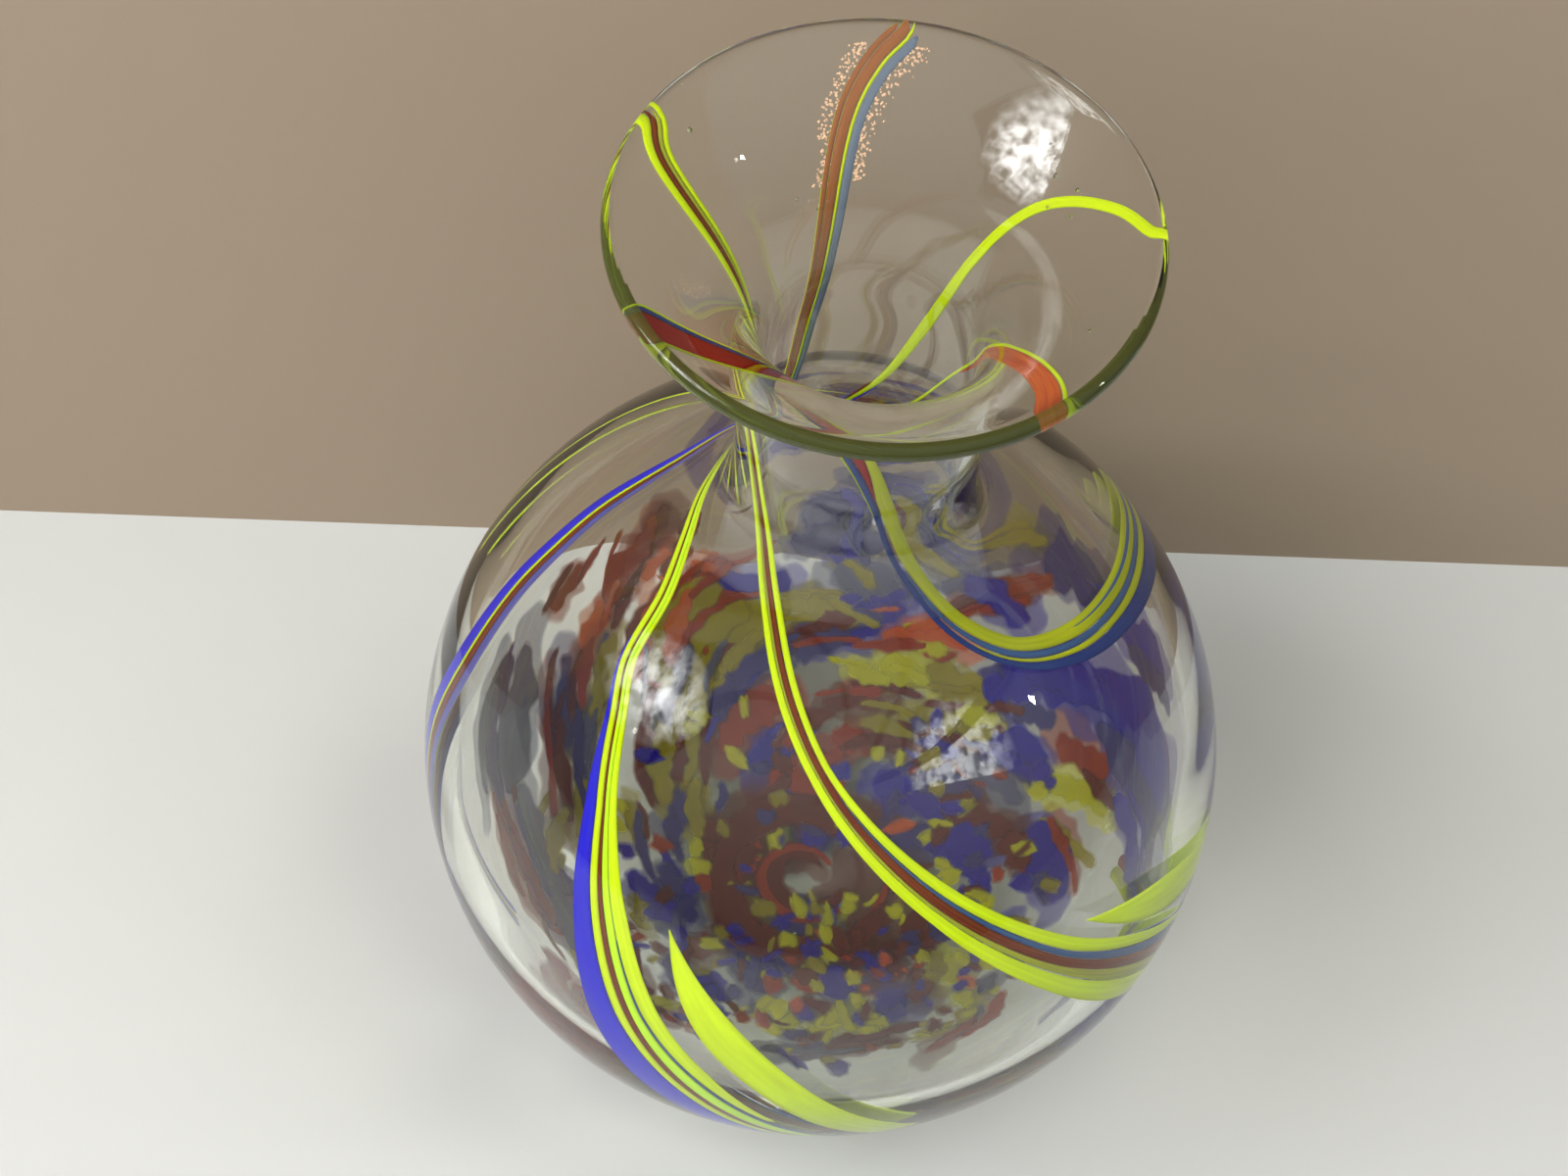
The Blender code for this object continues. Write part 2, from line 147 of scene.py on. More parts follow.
flat_sheet("table_top", [
    (-TABLE_HALF, -TABLE_HALF, TABLE_LEVEL),
    (TABLE_HALF, -TABLE_HALF, TABLE_LEVEL),
    (TABLE_HALF, TABLE_HALF, TABLE_LEVEL),
    (-TABLE_HALF, TABLE_HALF, TABLE_LEVEL),
], plain_material("table_paint", TABLE_COLOUR, 0.35))

wall_paint = plain_material("wall_paint", WALL_COLOUR, 0.7)
links = wall_paint.node_tree.links
nodes = wall_paint.node_tree.nodes
facing = nodes.new("ShaderNodeNewGeometry")
clear = nodes.new("ShaderNodeBsdfTransparent")
pick = nodes.new("ShaderNodeMixShader")
wire(
    links, (facing, "Backfacing", pick, "Fac"), (nodes["Principled BSDF"], "BSDF", pick, 1),
    (clear, "BSDF", pick, 2), (pick, "Shader", nodes["Material Output"], "Surface"),
)
flat_sheet("painted_wall", [
    (*WALL_START, TABLE_LEVEL),
    (*WALL_END, TABLE_LEVEL),
    (*WALL_END, WALL_HEIGHT),
    (*WALL_START, WALL_HEIGHT),
], wall_paint)

curtain, nodes, links = new_material("bright_curtain")
place = nodes.new("ShaderNodeTexCoord")
middle = nodes.new("ShaderNodeMapping")
fill(middle, {"Location": (-1, -1, 0), "Scale": (2, 2, 0)})
fade = nodes.new("ShaderNodeTexGradient")
fade.gradient_type = "SPHERICAL"
glow = nodes.new("ShaderNodeMath")
glow.operation = "MULTIPLY"
branches = nodes.new("ShaderNodeTexNoise")
fill(branches, {"Scale": 11, "Detail": 4})
gaps = nodes.new("ShaderNodeMapRange")
fill(gaps, {"From Min": 0.40, "From Max": 0.62, "To Min": 1.5, "To Max": 26.0})
shine = nodes.new("ShaderNodeEmission")
shine.inputs["Color"].default_value = (0.98, 0.99, 1.0, 1)
wire(
    links, (place, "UV", middle, "Vector"), (middle, "Vector", fade, "Vector"), (place, "UV", branches, "Vector"),
    (branches, "Fac", gaps, "Value"), (fade, "Fac", glow, 0), (gaps, "Result", glow, 1),
    (glow, "Value", shine, "Strength"), (shine, "Emission", nodes["Material Output"], "Surface"),
)
# The window: brightest in its middle, as 1 - distance, and broken into patches by noise.
window = flat_sheet("window", [
    (-1.3, -0.75, 0.75),
    (-1.3, 0.55, 0.75),
    (-0.75, 0.55, 1.75),
    (-0.75, -0.75, 1.75),
], curtain)
window.data.uv_layers.new(name="sheet").data.foreach_set("uv", [0, 0, 1, 0, 1, 1, 0, 1])
soft_lamp("room_light", (-0.75, -0.80, 0.95), (0, 0, 0.05), (0.9, 0.9), 18, (1.0, 0.985, 0.965), mirrored=False)
soft_lamp("fill_light", (0.70, -0.05, 1.40), (0.1, 0, 0), (0.6, 0.6), 8, (1.0, 0.99, 0.97), mirrored=False)
soft_lamp("side_lamp", (1.5, 0.0, 1.10), (0, 0, 0.1), (0.05, 0.05), 1.2, (1.0, 0.97, 0.92))

world = bpy.data.worlds.new("room")
world.use_nodes = True
nodes = world.node_tree.nodes
links = world.node_tree.links
nodes["Background"].inputs["Color"].default_value = (0.98, 1.0, 0.98, 1)
around = nodes.new("ShaderNodeTexCoord")
split = nodes.new("ShaderNodeSeparateXYZ")
ceiling = nodes.new("ShaderNodeMapRange")
fill(ceiling, {"From Min": -0.1, "From Max": 0.9, "To Min": 0.16, "To Max": 0.60})
wire(
    links, (around, "Generated", split, "Vector"), (split, "Z", ceiling, "Value"),
    (ceiling, "Result", nodes["Background"], "Strength"),
)
scene.world = world

scene.view_settings.view_transform = "Standard"
scene.cycles.max_bounces = 128
scene.cycles.transmission_bounces = 120
scene.cycles.transparent_max_bounces = 32
scene.cycles.glossy_bounces = 8
scene.cycles.diffuse_bounces = 4

# ---------------------------------------------------------------- Clear glass wall
# The two gathers of clear glass, blown and fused into one wall: a thick ball, a thinner neck and a flared mouth
# whose lip is rounded in the flame. Its outside is smooth and its inside shows faint rings from the blowing. Round
# the front of the lip, facing the camera, an olive colour is painted in: painted shade for the dark green of the
# thick lip.
_, gather_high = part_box("outer_gather")
BALL_RADIUS = gather_high.x + 0.0005
BALL_HALF_HEIGHT = 0.0718
FOOT_CUT = 0.005
FOOT_HOLLOW = 0.0005
CENTRE = BALL_HALF_HEIGHT - FOOT_CUT
SHOULDER_ANGLE = 56.4
SHOULDER = CENTRE + BALL_HALF_HEIGHT * math.sin(math.radians(SHOULDER_ANGLE))
WAIST = SHOULDER + 0.0489
WAIST_RADIUS = 0.0206
MOUTH = gather_high.z - 0.0016
MOUTH_RADIUS = 0.0415
FLARE_SLOPE = 1.85
WALL_SIDE = 0.0047
WALL_FLOOR = 0.0085
WALL_NECK = 0.0029
RING_DEPTH = 0.000025
DIMPLES = 2.2  # how much deeper than the rings the dimples on the right of the mouth are
SIDES = 256
STEP_UP = 0.0016
LIP_STEPS = 12
FOOT_STEPS = 24


def hermite(x, start, end):
    """A smooth curve between two (x, value, slope) points."""
    span = end[0] - start[0]
    t = (x - start[0]) / span
    return (
        (2 * t**3 - 3 * t**2 + 1) * start[1]
        + (t**3 - 2 * t**2 + t) * span * start[2]
        + (3 * t**2 - 2 * t**3) * end[1]
        + (t**3 - t**2) * span * end[2]
    )


def outside_radius(z):
    """An ellipse up to the shoulder, then smooth curves in to the waist and out to the lip."""
    rise = np.clip((z - CENTRE) / BALL_HALF_HEIGHT, -1, 1)
    ball = BALL_RADIUS * np.sqrt(1 - rise**2)
    end = math.sin(math.radians(SHOULDER_ANGLE))
    end_radius = BALL_RADIUS * math.sqrt(1 - end**2)
    end_slope = -BALL_RADIUS * end / (BALL_HALF_HEIGHT * math.sqrt(1 - end**2))
    neck = hermite(z, (SHOULDER, end_radius, end_slope), (WAIST, WAIST_RADIUS, 0))
    flare = hermite(z, (WAIST, WAIST_RADIUS, 0), (MOUTH, MOUTH_RADIUS, FLARE_SLOPE))
    return np.where(z < SHOULDER, ball, np.where(z < WAIST, neck, flare))


def height_at(level):
    angle = np.radians(SHOULDER_ANGLE * np.clip(level - 1, 0, 1))
    ball = CENTRE + BALL_HALF_HEIGHT * np.sin(angle)
    return ball + (WAIST - SHOULDER) * np.clip(level - 2, 0, 1) + (MOUTH - WAIST) * np.clip(level - 3, 0, 1)


def wall_line(levels, side, floor, neck):
    """(radius, height) at levels 0 to 4 of the surface that lies this deep in the wall at its side, floor and neck:
    a quarter of an ellipse below the widest place, and above it the outside moved in along its own normals."""
    low = np.radians(90 * np.clip(levels, 0, 1))
    lower = np.stack([(BALL_RADIUS - side) * np.sin(low), CENTRE - (CENTRE - floor) * np.cos(low)], 1)
    z = height_at(levels)
    small = BALL_RADIUS / 2000
    slope = (outside_radius(z + small) - outside_radius(z - small)) / (2 * small)
    share = np.clip((z - CENTRE) / (WAIST - CENTRE), 0, 1)
    depth = side + (neck - side) * share**2 * (3 - 2 * share)
    long = np.sqrt(1 + slope**2)
    upper = np.stack([outside_radius(z) - depth / long, z + depth * slope / long], 1)
    return np.where(levels[:, None] < 1, lower, upper)


def evenly(line, step):
    """The same line with its points this far apart."""
    length = np.append(0, np.cumsum(np.linalg.norm(np.diff(line, axis=0), axis=1)))
    even = np.linspace(0, length[-1], max(2, round(length[-1] / step) + 1))
    return np.stack([np.interp(even, length, line[:, 0]), np.interp(even, length, line[:, 1])], 1)


def lip_arc(count):
    """The half circle over the lip, from the outside to the inside."""
    outside = wall_line(np.array([4.0]), 0, -FOOT_CUT, 0)[0]
    inside = wall_line(np.array([4.0]), WALL_SIDE, WALL_FLOOR, WALL_NECK)[0]
    half = (outside - inside) / 2
    turn = np.linspace(0, math.pi, count)[:, None]
    return (outside + inside) / 2 + half * np.cos(turn) + np.array([-half[1], half[0]]) * np.sin(turn)


def mesh_piece(name, points, faces, materials, face_material=None, uv=None):
    """A smooth object from points and faces, with its materials and, if given, a UV for each point."""
    mesh = bpy.data.meshes.new(name)
    mesh.from_pydata(points.tolist(), [], faces)
    for material in materials:
        mesh.materials.append(material)
    if face_material is not None:
        mesh.polygons.foreach_set("material_index", face_material)
    if uv is not None:
        corner = np.zeros(len(mesh.loops), np.int32)
        mesh.loops.foreach_get("vertex_index", corner)
        layer = mesh.uv_layers.new(name="across_and_along")
        layer.data.foreach_set("uv", uv[corner].astype(np.float32).ravel())
    mesh.shade_smooth()
    piece = bpy.data.objects.new(name, mesh)
    scene.collection.objects.link(piece)
    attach(piece, "root")
    return piece


def clear_glass(name, tint, density, colour=(1, 1, 1), clear_share=1.0):
    """Clear glass that shadow rays pass, faintly coloured by its thickness. The rest of clear_share scatters light in
    the given colour."""
    material, nodes, links = new_material(name)
    shader = nodes["Principled BSDF"]
    fill(shader, {"Base Color": (*colour, 1), "Roughness": 0.0, "IOR": 1.5, "Transmission Weight": clear_share})
    path = nodes.new("ShaderNodeLightPath")
    clear = nodes.new("ShaderNodeBsdfTransparent")
    pick = nodes.new("ShaderNodeMixShader")
    wire(
        links, (path, "Is Shadow Ray", pick, "Fac"), (shader, "BSDF", pick, 1), (clear, "BSDF", pick, 2),
        (pick, "Shader", nodes["Material Output"], "Surface"),
    )
    body = nodes.new("ShaderNodeVolumeAbsorption")
    fill(body, {"Color": (*tint, 1), "Density": density})
    links.new(body.outputs["Volume"], nodes["Material Output"].inputs["Volume"])
    return material


fine = np.linspace(0, 4, 4001)
outside = wall_line(fine, 0, -FOOT_CUT, 0)
foot_radius = BALL_RADIUS * math.sqrt(1 - (CENTRE / BALL_HALF_HEIGHT) ** 2)
foot = np.stack([np.linspace(0, foot_radius, FOOT_STEPS, endpoint=False)] * 2, 1)
foot[:, 1] = FOOT_HOLLOW * (1 - (foot[:, 0] / foot_radius) ** 4)
outside = evenly(outside[outside[:, 1] > 0.0001], STEP_UP)
inside = evenly(wall_line(fine, WALL_SIDE, WALL_FLOOR, WALL_NECK), STEP_UP)[::-1]
profile = np.vstack([foot[1:], outside[:-1], lip_arc(LIP_STEPS + 1), inside[1:-1]])
inner_row = np.arange(len(profile)) >= len(profile) - len(inside) + 2
turns = np.linspace(0, 2 * math.pi, SIDES, endpoint=False)
# The inside wavers by the sum of sines of height and turn: two trains of rings, a few broad lumps, and small dimples
# that are kept to the upper right of the mouth.
height = profile[:, 1:]
rings = np.sin(height * 420 + 1.5 * np.sin(turns)) + np.sin(height * 190 + 2 * turns + 1)
lumps = 1.6 * np.sin(3 * turns + height * 60) * np.sin(height * 95 + turns)
dimples = np.sin(26 * turns + 3 * np.sin(height * 260)) * np.sin(height * 900 + 4 * np.sin(7 * turns))
dimpled = np.exp(-(((turns - math.radians(42)) / 0.42) ** 2)) * np.clip((height - 0.187) / 0.006, 0, 1)
dimpled = dimpled * np.clip((MOUTH - 0.001 - height) / 0.004, 0, 1)
waves = rings + lumps + DIMPLES * dimpled * dimples
radius = profile[:, :1] + inner_row[:, None] * RING_DEPTH * waves * np.clip(profile[:, :1] / 0.02, 0, 1)
wall_points = np.stack([
    radius * np.cos(turns),
    radius * np.sin(turns),
    np.repeat(height, SIDES, axis=1),
], -1).reshape(-1, 3)
wall_points = np.vstack([wall_points, (0, 0, FOOT_HOLLOW), (0, 0, inside[-1, 1])])
row, side = np.meshgrid(np.arange(len(profile) - 1), np.arange(SIDES), indexing="ij")
here = row * SIDES + side
after = row * SIDES + (side + 1) % SIDES
wall_faces = np.stack([here, after, after + SIDES, here + SIDES], -1).reshape(-1, 4).tolist()
ring = np.arange(SIDES)
next_in_ring = (ring + 1) % SIDES
top = (len(profile) - 1) * SIDES
wall_faces += np.stack([next_in_ring, ring, np.full(SIDES, len(wall_points) - 2)], 1).tolist()
wall_faces += np.stack([top + ring, top + next_in_ring, np.full(SIDES, len(wall_points) - 1)], 1).tolist()
lip_start = len(foot) - 1 + len(outside) - 1
# The front of the lip, facing the camera, takes the olive lip material: painted shade for the dark green seen along
# the thick glass.
painted_shade_rows = LIP_STEPS * np.clip((0.35 - np.sin(turns[side])) / 0.8, 0, 1)
painted_shade_faces = np.append(((row >= lip_start) & (row < lip_start + painted_shade_rows)).ravel(), np.zeros(2 * SIDES, bool))
glass_wall = mesh_piece("glass_wall", wall_points, wall_faces, [
    clear_glass("clear_glass", (0.60, 0.80, 0.30), 12),
    clear_glass("lip_painted_shade", (0.60, 0.80, 0.30), 12, (0.30, 0.34, 0.06), 0.88),
], painted_shade_faces.astype(np.int32))
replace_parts(glass_wall, "outer_gather", "inner_gather")


# ---------------------------------------------------------------- Laying colour on the wall
# Every piece of colour lies along one surface of the wall: the canes just under the outside, the chips between the
# gathers. These find the place on such a surface that is nearest to a point, and carry a section along a route.
LINE_POINTS = 1601
LIP_POINTS = 41
CURVE_STEPS = 40
ROUNDED_END = 0.0012


class Surface:
    """A surface of revolution from a (radius, height) line, measured by the run up the line from the bottom."""

    def __init__(self, levels, line):
        self.levels = levels
        self.line = line
        self.along = np.gradient(line, axis=0)
        self.along /= np.linalg.norm(self.along, axis=1, keepdims=True)
        self.run = np.append(0, np.cumsum(np.linalg.norm(np.diff(line, axis=0), axis=1)))

    def run_at(self, level):
        return np.interp(level, self.levels, self.run)

    def laid(self, points, lift):
        """The points moved to the nearest place on the surface, and off it by lift along its normal."""
        radius = np.hypot(points[..., 0], points[..., 1])
        gap = (radius[..., None] - self.line[:, 0]) ** 2 + (points[..., 2, None] - self.line[:, 1]) ** 2
        near = gap.argmin(-1)
        along = self.along[near]
        run = self.run[near] + (radius - self.line[near, 0]) * along[..., 0]
        run += (points[..., 2] - self.line[near, 1]) * along[..., 1]
        turn = np.arctan2(points[..., 1], points[..., 0])
        place, normal = self.at(turn, run)
        return place + normal * np.asarray(lift)[..., None]

    def at(self, turn, run):
        """The places at these turns in radians and runs, and the normals there."""
        line = [np.interp(run, self.run, self.line[:, k]) for k in (0, 1)]
        along = [np.interp(run, self.run, self.along[:, k]) for k in (0, 1)]
        long = np.hypot(*along)
        cos, sin = np.cos(turn), np.sin(turn)
        place = np.stack([line[0] * cos, line[0] * sin, line[1]], -1)
        normal = np.stack([along[1] / long * cos, along[1] / long * sin, -along[0] / long], -1)
        return place, normal


def smooth_route(surface, route, step):
    """Turns and runs along a smooth curve (Catmull-Rom) through (turn, level) points, about one step apart."""
    points = np.array(route, float)
    points = np.stack([np.radians(points[:, 0]), surface.run_at(points[:, 1])], 1)
    ends = np.vstack([2 * points[0] - points[1], points, 2 * points[-1] - points[-2]])
    t = np.linspace(0, 1, CURVE_STEPS, endpoint=False)[:, None]
    curves = [
        0.5 * (2 * p1 + (p2 - p0) * t + (2 * p0 - 5 * p1 + 4 * p2 - p3) * t**2 + (3 * p1 - p0 - 3 * p2 + p3) * t**3)
        for p0, p1, p2, p3 in zip(ends, ends[1:], ends[2:], ends[3:])
    ]
    curve = np.vstack([*curves, points[-1:]])
    place, _ = surface.at(curve[:, 0], curve[:, 1])
    length = np.append(0, np.cumsum(np.linalg.norm(np.diff(place, axis=0), axis=1)))
    even = np.linspace(0, length[-1], max(6, round(length[-1] / step) + 1))
    return np.stack([np.interp(even, length, curve[:, k]) for k in (0, 1)], 1), even


def tube_faces(rows, sides):
    """Faces between rings of points, one ring to a row."""
    row, k = np.meshgrid(np.arange(rows - 1), np.arange(sides), indexing="ij")
    here = row * sides + k
    after = row * sides + (k + 1) % sides
    return np.stack([here, here + sides, after + sides, after], -1).reshape(-1, 4).tolist()


def closed_tube_faces(rows, sides):
    """The same, closed by a face over the first ring and one over the last."""
    last = (rows - 1) * sides
    return tube_faces(rows, sides) + [list(range(sides)), list(range(last + sides - 1, last - 1, -1))]


def ribbon(name, surface, path, along, left, right, lift, thickness, materials, sections=12):
    """A strand of glass that follows a path on a surface: a flat lens in section, its edges at left and right of
    the path, its middle lifted off the surface, rounded at both ends. The faces under it take the last material."""
    middle, normal = surface.at(path[:, 0], path[:, 1])
    way = np.gradient(middle, axis=0)
    way /= np.linalg.norm(way, axis=1, keepdims=True)
    across = np.cross(way, normal)
    across /= np.linalg.norm(across, axis=1, keepdims=True)
    turn = np.linspace(0, 2 * math.pi, sections, endpoint=False) + math.pi / sections
    share = np.cos(turn)
    swell = np.sign(np.sin(turn)) * np.abs(np.sin(turn)) ** 0.6
    end = np.minimum(along - along[0], along[-1] - along)
    close = np.sqrt(np.clip(1 - (1 - np.clip(end / ROUNDED_END, 0, 1)) ** 2, 0.0004, 1))
    offset = ((left + right) / 2)[:, None] + ((left - right) / 2)[:, None] * share * (0.35 + 0.65 * close[:, None])
    height = lift + thickness / 2 * swell * close[:, None]
    rings = surface.laid(middle[:, None] + across[:, None] * offset[..., None], height)
    under = np.append(np.tile(swell + np.roll(swell, -1) < 0, len(middle) - 1), [0, 0])
    uv = np.stack([np.repeat(along[:, None], sections, 1), np.repeat(share[None] / 2 + 0.5, len(along), 0)], -1)
    return mesh_piece(
        name, rings.reshape(-1, 3), closed_tube_faces(len(middle), sections), materials,
        (under * (len(materials) - 1)).astype(np.int32), uv.reshape(-1, 2),
    )


outer_skin = Surface(
    np.concatenate([np.linspace(0, 4, LINE_POINTS), np.linspace(4, 5, LIP_POINTS)[1:]]),
    np.vstack([wall_line(np.linspace(0, 4, LINE_POINTS), 0, -FOOT_CUT, 0), lip_arc(LIP_POINTS)[1:]]),
)

# ---------------------------------------------------------------- Drawn cane
# Each cane is a bundle of coloured rods that was heated, stretched and trailed on as one ribbon, then melted in
# flush with the outside. It twists and spreads as the ball is blown, and the colour under it can differ.
CANE_THICKNESS = 0.0007
CANE_SINK = 0.0001  # the top of a strand lies this far under the polished surface
CANE_STEP = 0.0012

drawn = bpy.data.node_groups.new("drawn_streaks", "ShaderNodeTree")
drawn.interface.new_socket("Colour", in_out="INPUT", socket_type="NodeSocketColor")
drawn.interface.new_socket("Streak colour", in_out="INPUT", socket_type="NodeSocketColor")
drawn.interface.new_socket("Amount", in_out="INPUT", socket_type="NodeSocketFloat")
drawn.interface.new_socket("Colour", in_out="OUTPUT", socket_type="NodeSocketColor")
group_in = drawn.nodes.new("NodeGroupInput")
group_out = drawn.nodes.new("NodeGroupOutput")
place = drawn.nodes.new("ShaderNodeUVMap")
place.uv_map = "across_and_along"
stretch = drawn.nodes.new("ShaderNodeMapping")
stretch.inputs["Scale"].default_value = (60, 5, 1)
noise = drawn.nodes.new("ShaderNodeTexNoise")
fill(noise, {"Scale": 1, "Detail": 3})
level = drawn.nodes.new("ShaderNodeMapRange")
fill(level, {"From Min": 0.35, "From Max": 0.75})
share = drawn.nodes.new("ShaderNodeMath")
share.operation = "MULTIPLY"
mix = drawn.nodes.new("ShaderNodeMix")
mix.data_type = "RGBA"
wire(
    drawn.links, (place, "UV", stretch, "Vector"), (stretch, "Vector", noise, "Vector"),
    (noise, "Fac", level, "Value"), (level, "Result", share, 0), (group_in, "Amount", share, 1),
    (share, "Value", mix, "Factor"), (group_in, "Colour", mix, "A"), (group_in, "Streak colour", mix, "B"),
    (mix, "Result", group_out, "Colour"),
)


def cane_glass(name, colour, streak, amount):
    """Opaque coloured glass drawn into a rod, with fine streaks along it. It lies inside the clear glass, so its own
    surface doesn't shine."""
    material, nodes, links = new_material(name)
    shader = nodes["Principled BSDF"]
    fill(shader, {"Roughness": 0.6, "Specular IOR Level": 0.0})
    look = nodes.new("ShaderNodeGroup")
    look.node_tree = drawn
    fill(look, {"Colour": (*colour, 1), "Streak colour": (*streak, 1), "Amount": amount})
    links.new(look.outputs["Colour"], shader.inputs["Base Color"])
    return material


lemon = cane_glass("lemon_cane", (0.55, 0.72, 0.008), (0.42, 0.52, 0.01), 0.7)
lime = cane_glass("lime_cane", (0.42, 0.72, 0.02), (0.60, 0.80, 0.01), 0.8)
# A darker copy of the yellow for cane D: painted shade where the mouth shades it.
shaded_yellow = cane_glass("yellow_cane_painted_shade", (0.38, 0.42, 0.012), (0.26, 0.30, 0.012), 0.8)
olive = cane_glass("olive_cane", (0.26, 0.28, 0.03), (0.45, 0.50, 0.03), 0.7)
cobalt = cane_glass("cobalt_cane", (0.02, 0.015, 0.52), (0.04, 0.04, 0.38), 0.5)
ocean = cane_glass("ocean_cane", (0.016, 0.035, 0.15), (0.025, 0.055, 0.21), 0.6)
slate = cane_glass("slate_cane", (0.035, 0.085, 0.20), (0.06, 0.12, 0.28), 0.6)
violet = cane_glass("violet_cane", (0.10, 0.10, 0.32), (0.05, 0.05, 0.22), 0.6)
brown = cane_glass("brown_cane", (0.12, 0.022, 0.008), (0.22, 0.06, 0.01), 0.8)
red = cane_glass("red_cane", (0.24, 0.006, 0.006), (0.14, 0.004, 0.004), 0.6)
orange = cane_glass("orange_cane", (0.52, 0.11, 0.02), (0.34, 0.03, 0.01), 1.0)
tan = cane_glass("tan_under", (0.33, 0.13, 0.05), (0.22, 0.08, 0.03), 0.8)
steel = cane_glass("steel_under", (0.16, 0.20, 0.26), (0.10, 0.13, 0.20), 0.6)


def strand(name, route, edges, materials, node=None, sink=CANE_SINK, thickness=CANE_THICKNESS):
    """One strand of a cane. edges are (level, left, right): how many millimetres to the left of the cane's middle
    its two edges lie, seen from outside with the lip at the top. It begins and ends with the first and last. node is
    the CAD node it stands for, if there is one."""
    levels, left, right = np.array(edges, float).T
    path, along = smooth_route(outer_skin, route, CANE_STEP)
    runs = outer_skin.run_at(levels)
    order = np.argsort(runs)
    inside = (path[:, 1] <= runs.max() + 1e-6) & (path[:, 1] >= runs.min() - 1e-6)
    path, along = path[inside], along[inside]
    left = np.interp(path[:, 1], runs[order], left[order]) / 1000
    right = np.interp(path[:, 1], runs[order], right[order]) / 1000
    piece = ribbon(name, outer_skin, path, along, left, right, -sink - thickness / 2, thickness, materials)
    if node:
        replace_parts(piece, node)


# Cane A: down the front from the left of the mouth. Two bright yellow strands with dark red-brown between them,
# joined lower down by slate blue and a thin olive strand that opens out to yellow.
CANE_A = [(154, 4.35), (155, 3.99), (162, 3.93), (173, 3.68), (185, 3.43), (200, 3.18), (213, 3.0), (222, 2.72),
          (232, 2.5), (246, 2.29), (258, 2.13), (268, 2.01), (284, 1.78), (300, 1.52), (317, 1.22), (335, 0.94),
          (355, 0.72)]
strand("cane_a_lower_yellow", CANE_A, [
    (4.35, 2.2, 1.3), (3.0, 1.9, 1.0), (2.0, 2.1, 0.75), (1.65, 3.6, 1.5), (1.35, 6.0, 2.4), (1.15, 8.2, 3.2),
    (1.0, 9.2, 3.6), (0.85, 8.6, 4.4),
], [lemon], "cane_a_yellow_lower")
strand("cane_a_olive_thread", CANE_A, [
    (4.2, 1.2, 0.4), (3.0, 0.9, 0.35), (2.0, 0.7, 0.35), (1.65, 1.45, 0.9), (1.35, 2.2, 0.7), (1.15, 3.0, 0.3),
    (1.0, 3.4, 0.3), (0.72, 4.0, 0.8),
], [olive])
strand("cane_a_dark_brown", CANE_A, [
    (4.2, 0.4, -0.6), (3.0, 0.3, -0.5), (2.0, 0.35, -0.6), (1.65, 0.85, -0.8), (1.35, 0.7, -1.1),
    (1.15, 0.2, -2.2), (1.0, 0.2, -2.8), (0.72, 0.7, -2.2),
], [brown], "cane_a_brown")
strand("cane_a_slate_blue", CANE_A, [
    (1.95, -0.6, -0.7), (1.65, -0.85, -1.4), (1.35, -1.15, -2.4), (1.15, -2.3, -4.3), (1.0, -2.9, -5.4),
    (0.72, -2.3, -5.6),
], [slate], "cane_a_blue")
strand("cane_a_upper_yellow", CANE_A, [
    (4.35, -0.7, -2.2), (3.0, -0.6, -1.8), (2.0, -0.75, -1.9), (1.65, -1.5, -3.5), (1.35, -2.5, -5.2),
    (1.15, -4.4, -7.0), (1.0, -5.6, -7.6), (0.9, -6.6, -6.9),
], [lemon], "cane_a_yellow_upper")

# Cane B: from the back of the mouth round the neck and down the left front. Tan and steel grey seen from inside the
# mouth; outside, a wide cobalt strand, yellow, dark brown, lime and yellow.
CANE_B = [(89, 4.3), (90, 3.99), (96, 3.93), (105, 3.79), (117, 3.41), (124, 3.0), (134, 2.68), (155, 2.45),
          (172, 2.33), (190, 2.25), (204, 2.14), (213, 2.0), (222, 1.88), (231, 1.68), (238, 1.47), (249, 1.13),
          (262, 0.9), (276, 0.74)]
strand("cane_b_wide_cobalt", CANE_B, [
    (2.05, 1.5, 1.4), (1.85, 2.3, 1.2), (1.7, 3.4, 1.0), (1.45, 6.2, 2.3), (1.2, 9.4, 3.2), (1.0, 11.5, 3.2),
    (0.74, 11.0, 3.5),
], [cobalt], "cane_b_blue")
strand("cane_b_left_yellow", CANE_B, [
    (4.2, 3.0, 1.5), (3.0, 2.6, 1.1), (2.0, 1.4, 0.3), (1.7, 0.95, -0.3), (1.45, 2.2, 0.6), (1.2, 3.1, 1.1),
    (1.0, 3.1, 1.2), (0.74, 3.4, 1.0),
], [lemon, steel], "cane_b_yellow_left")
strand("cane_b_dark_brown", CANE_B, [
    (4.3, 1.4, 0.9), (3.0, 1.0, 0.6), (2.0, 0.25, -0.05), (1.7, -0.35, -0.8), (1.45, 0.5, -0.5), (1.2, 1.0, -0.3),
    (1.0, 1.1, -0.2), (0.74, 0.9, -0.6),
], [brown, lemon], "cane_b_brown")
strand("cane_b_lime", CANE_B, [
    (4.3, 0.8, -1.1), (3.0, 0.55, -0.9), (2.0, -0.1, -0.8), (1.7, -0.85, -1.6), (1.45, -0.6, -2.2),
    (1.2, -0.4, -2.2), (1.0, -0.3, -3.2), (0.74, -0.7, -4.2),
], [lime, tan], "cane_b_yellow_middle")
strand("cane_b_blue_thread", CANE_B, [
    (1.42, -2.2, -2.3), (1.2, -2.25, -2.7), (1.0, -3.3, -4.0), (0.74, -4.3, -5.4),
], [slate])
strand("cane_b_right_yellow", CANE_B, [
    (4.2, -1.2, -2.2), (3.0, -1.0, -1.9), (2.0, -0.85, -1.6), (1.7, -1.65, -3.1), (1.45, -2.3, -5.2),
    (1.2, -2.8, -6.4), (1.0, -4.1, -7.6), (0.86, -5.4, -6.6),
], [lemon, tan], "cane_b_yellow_right")

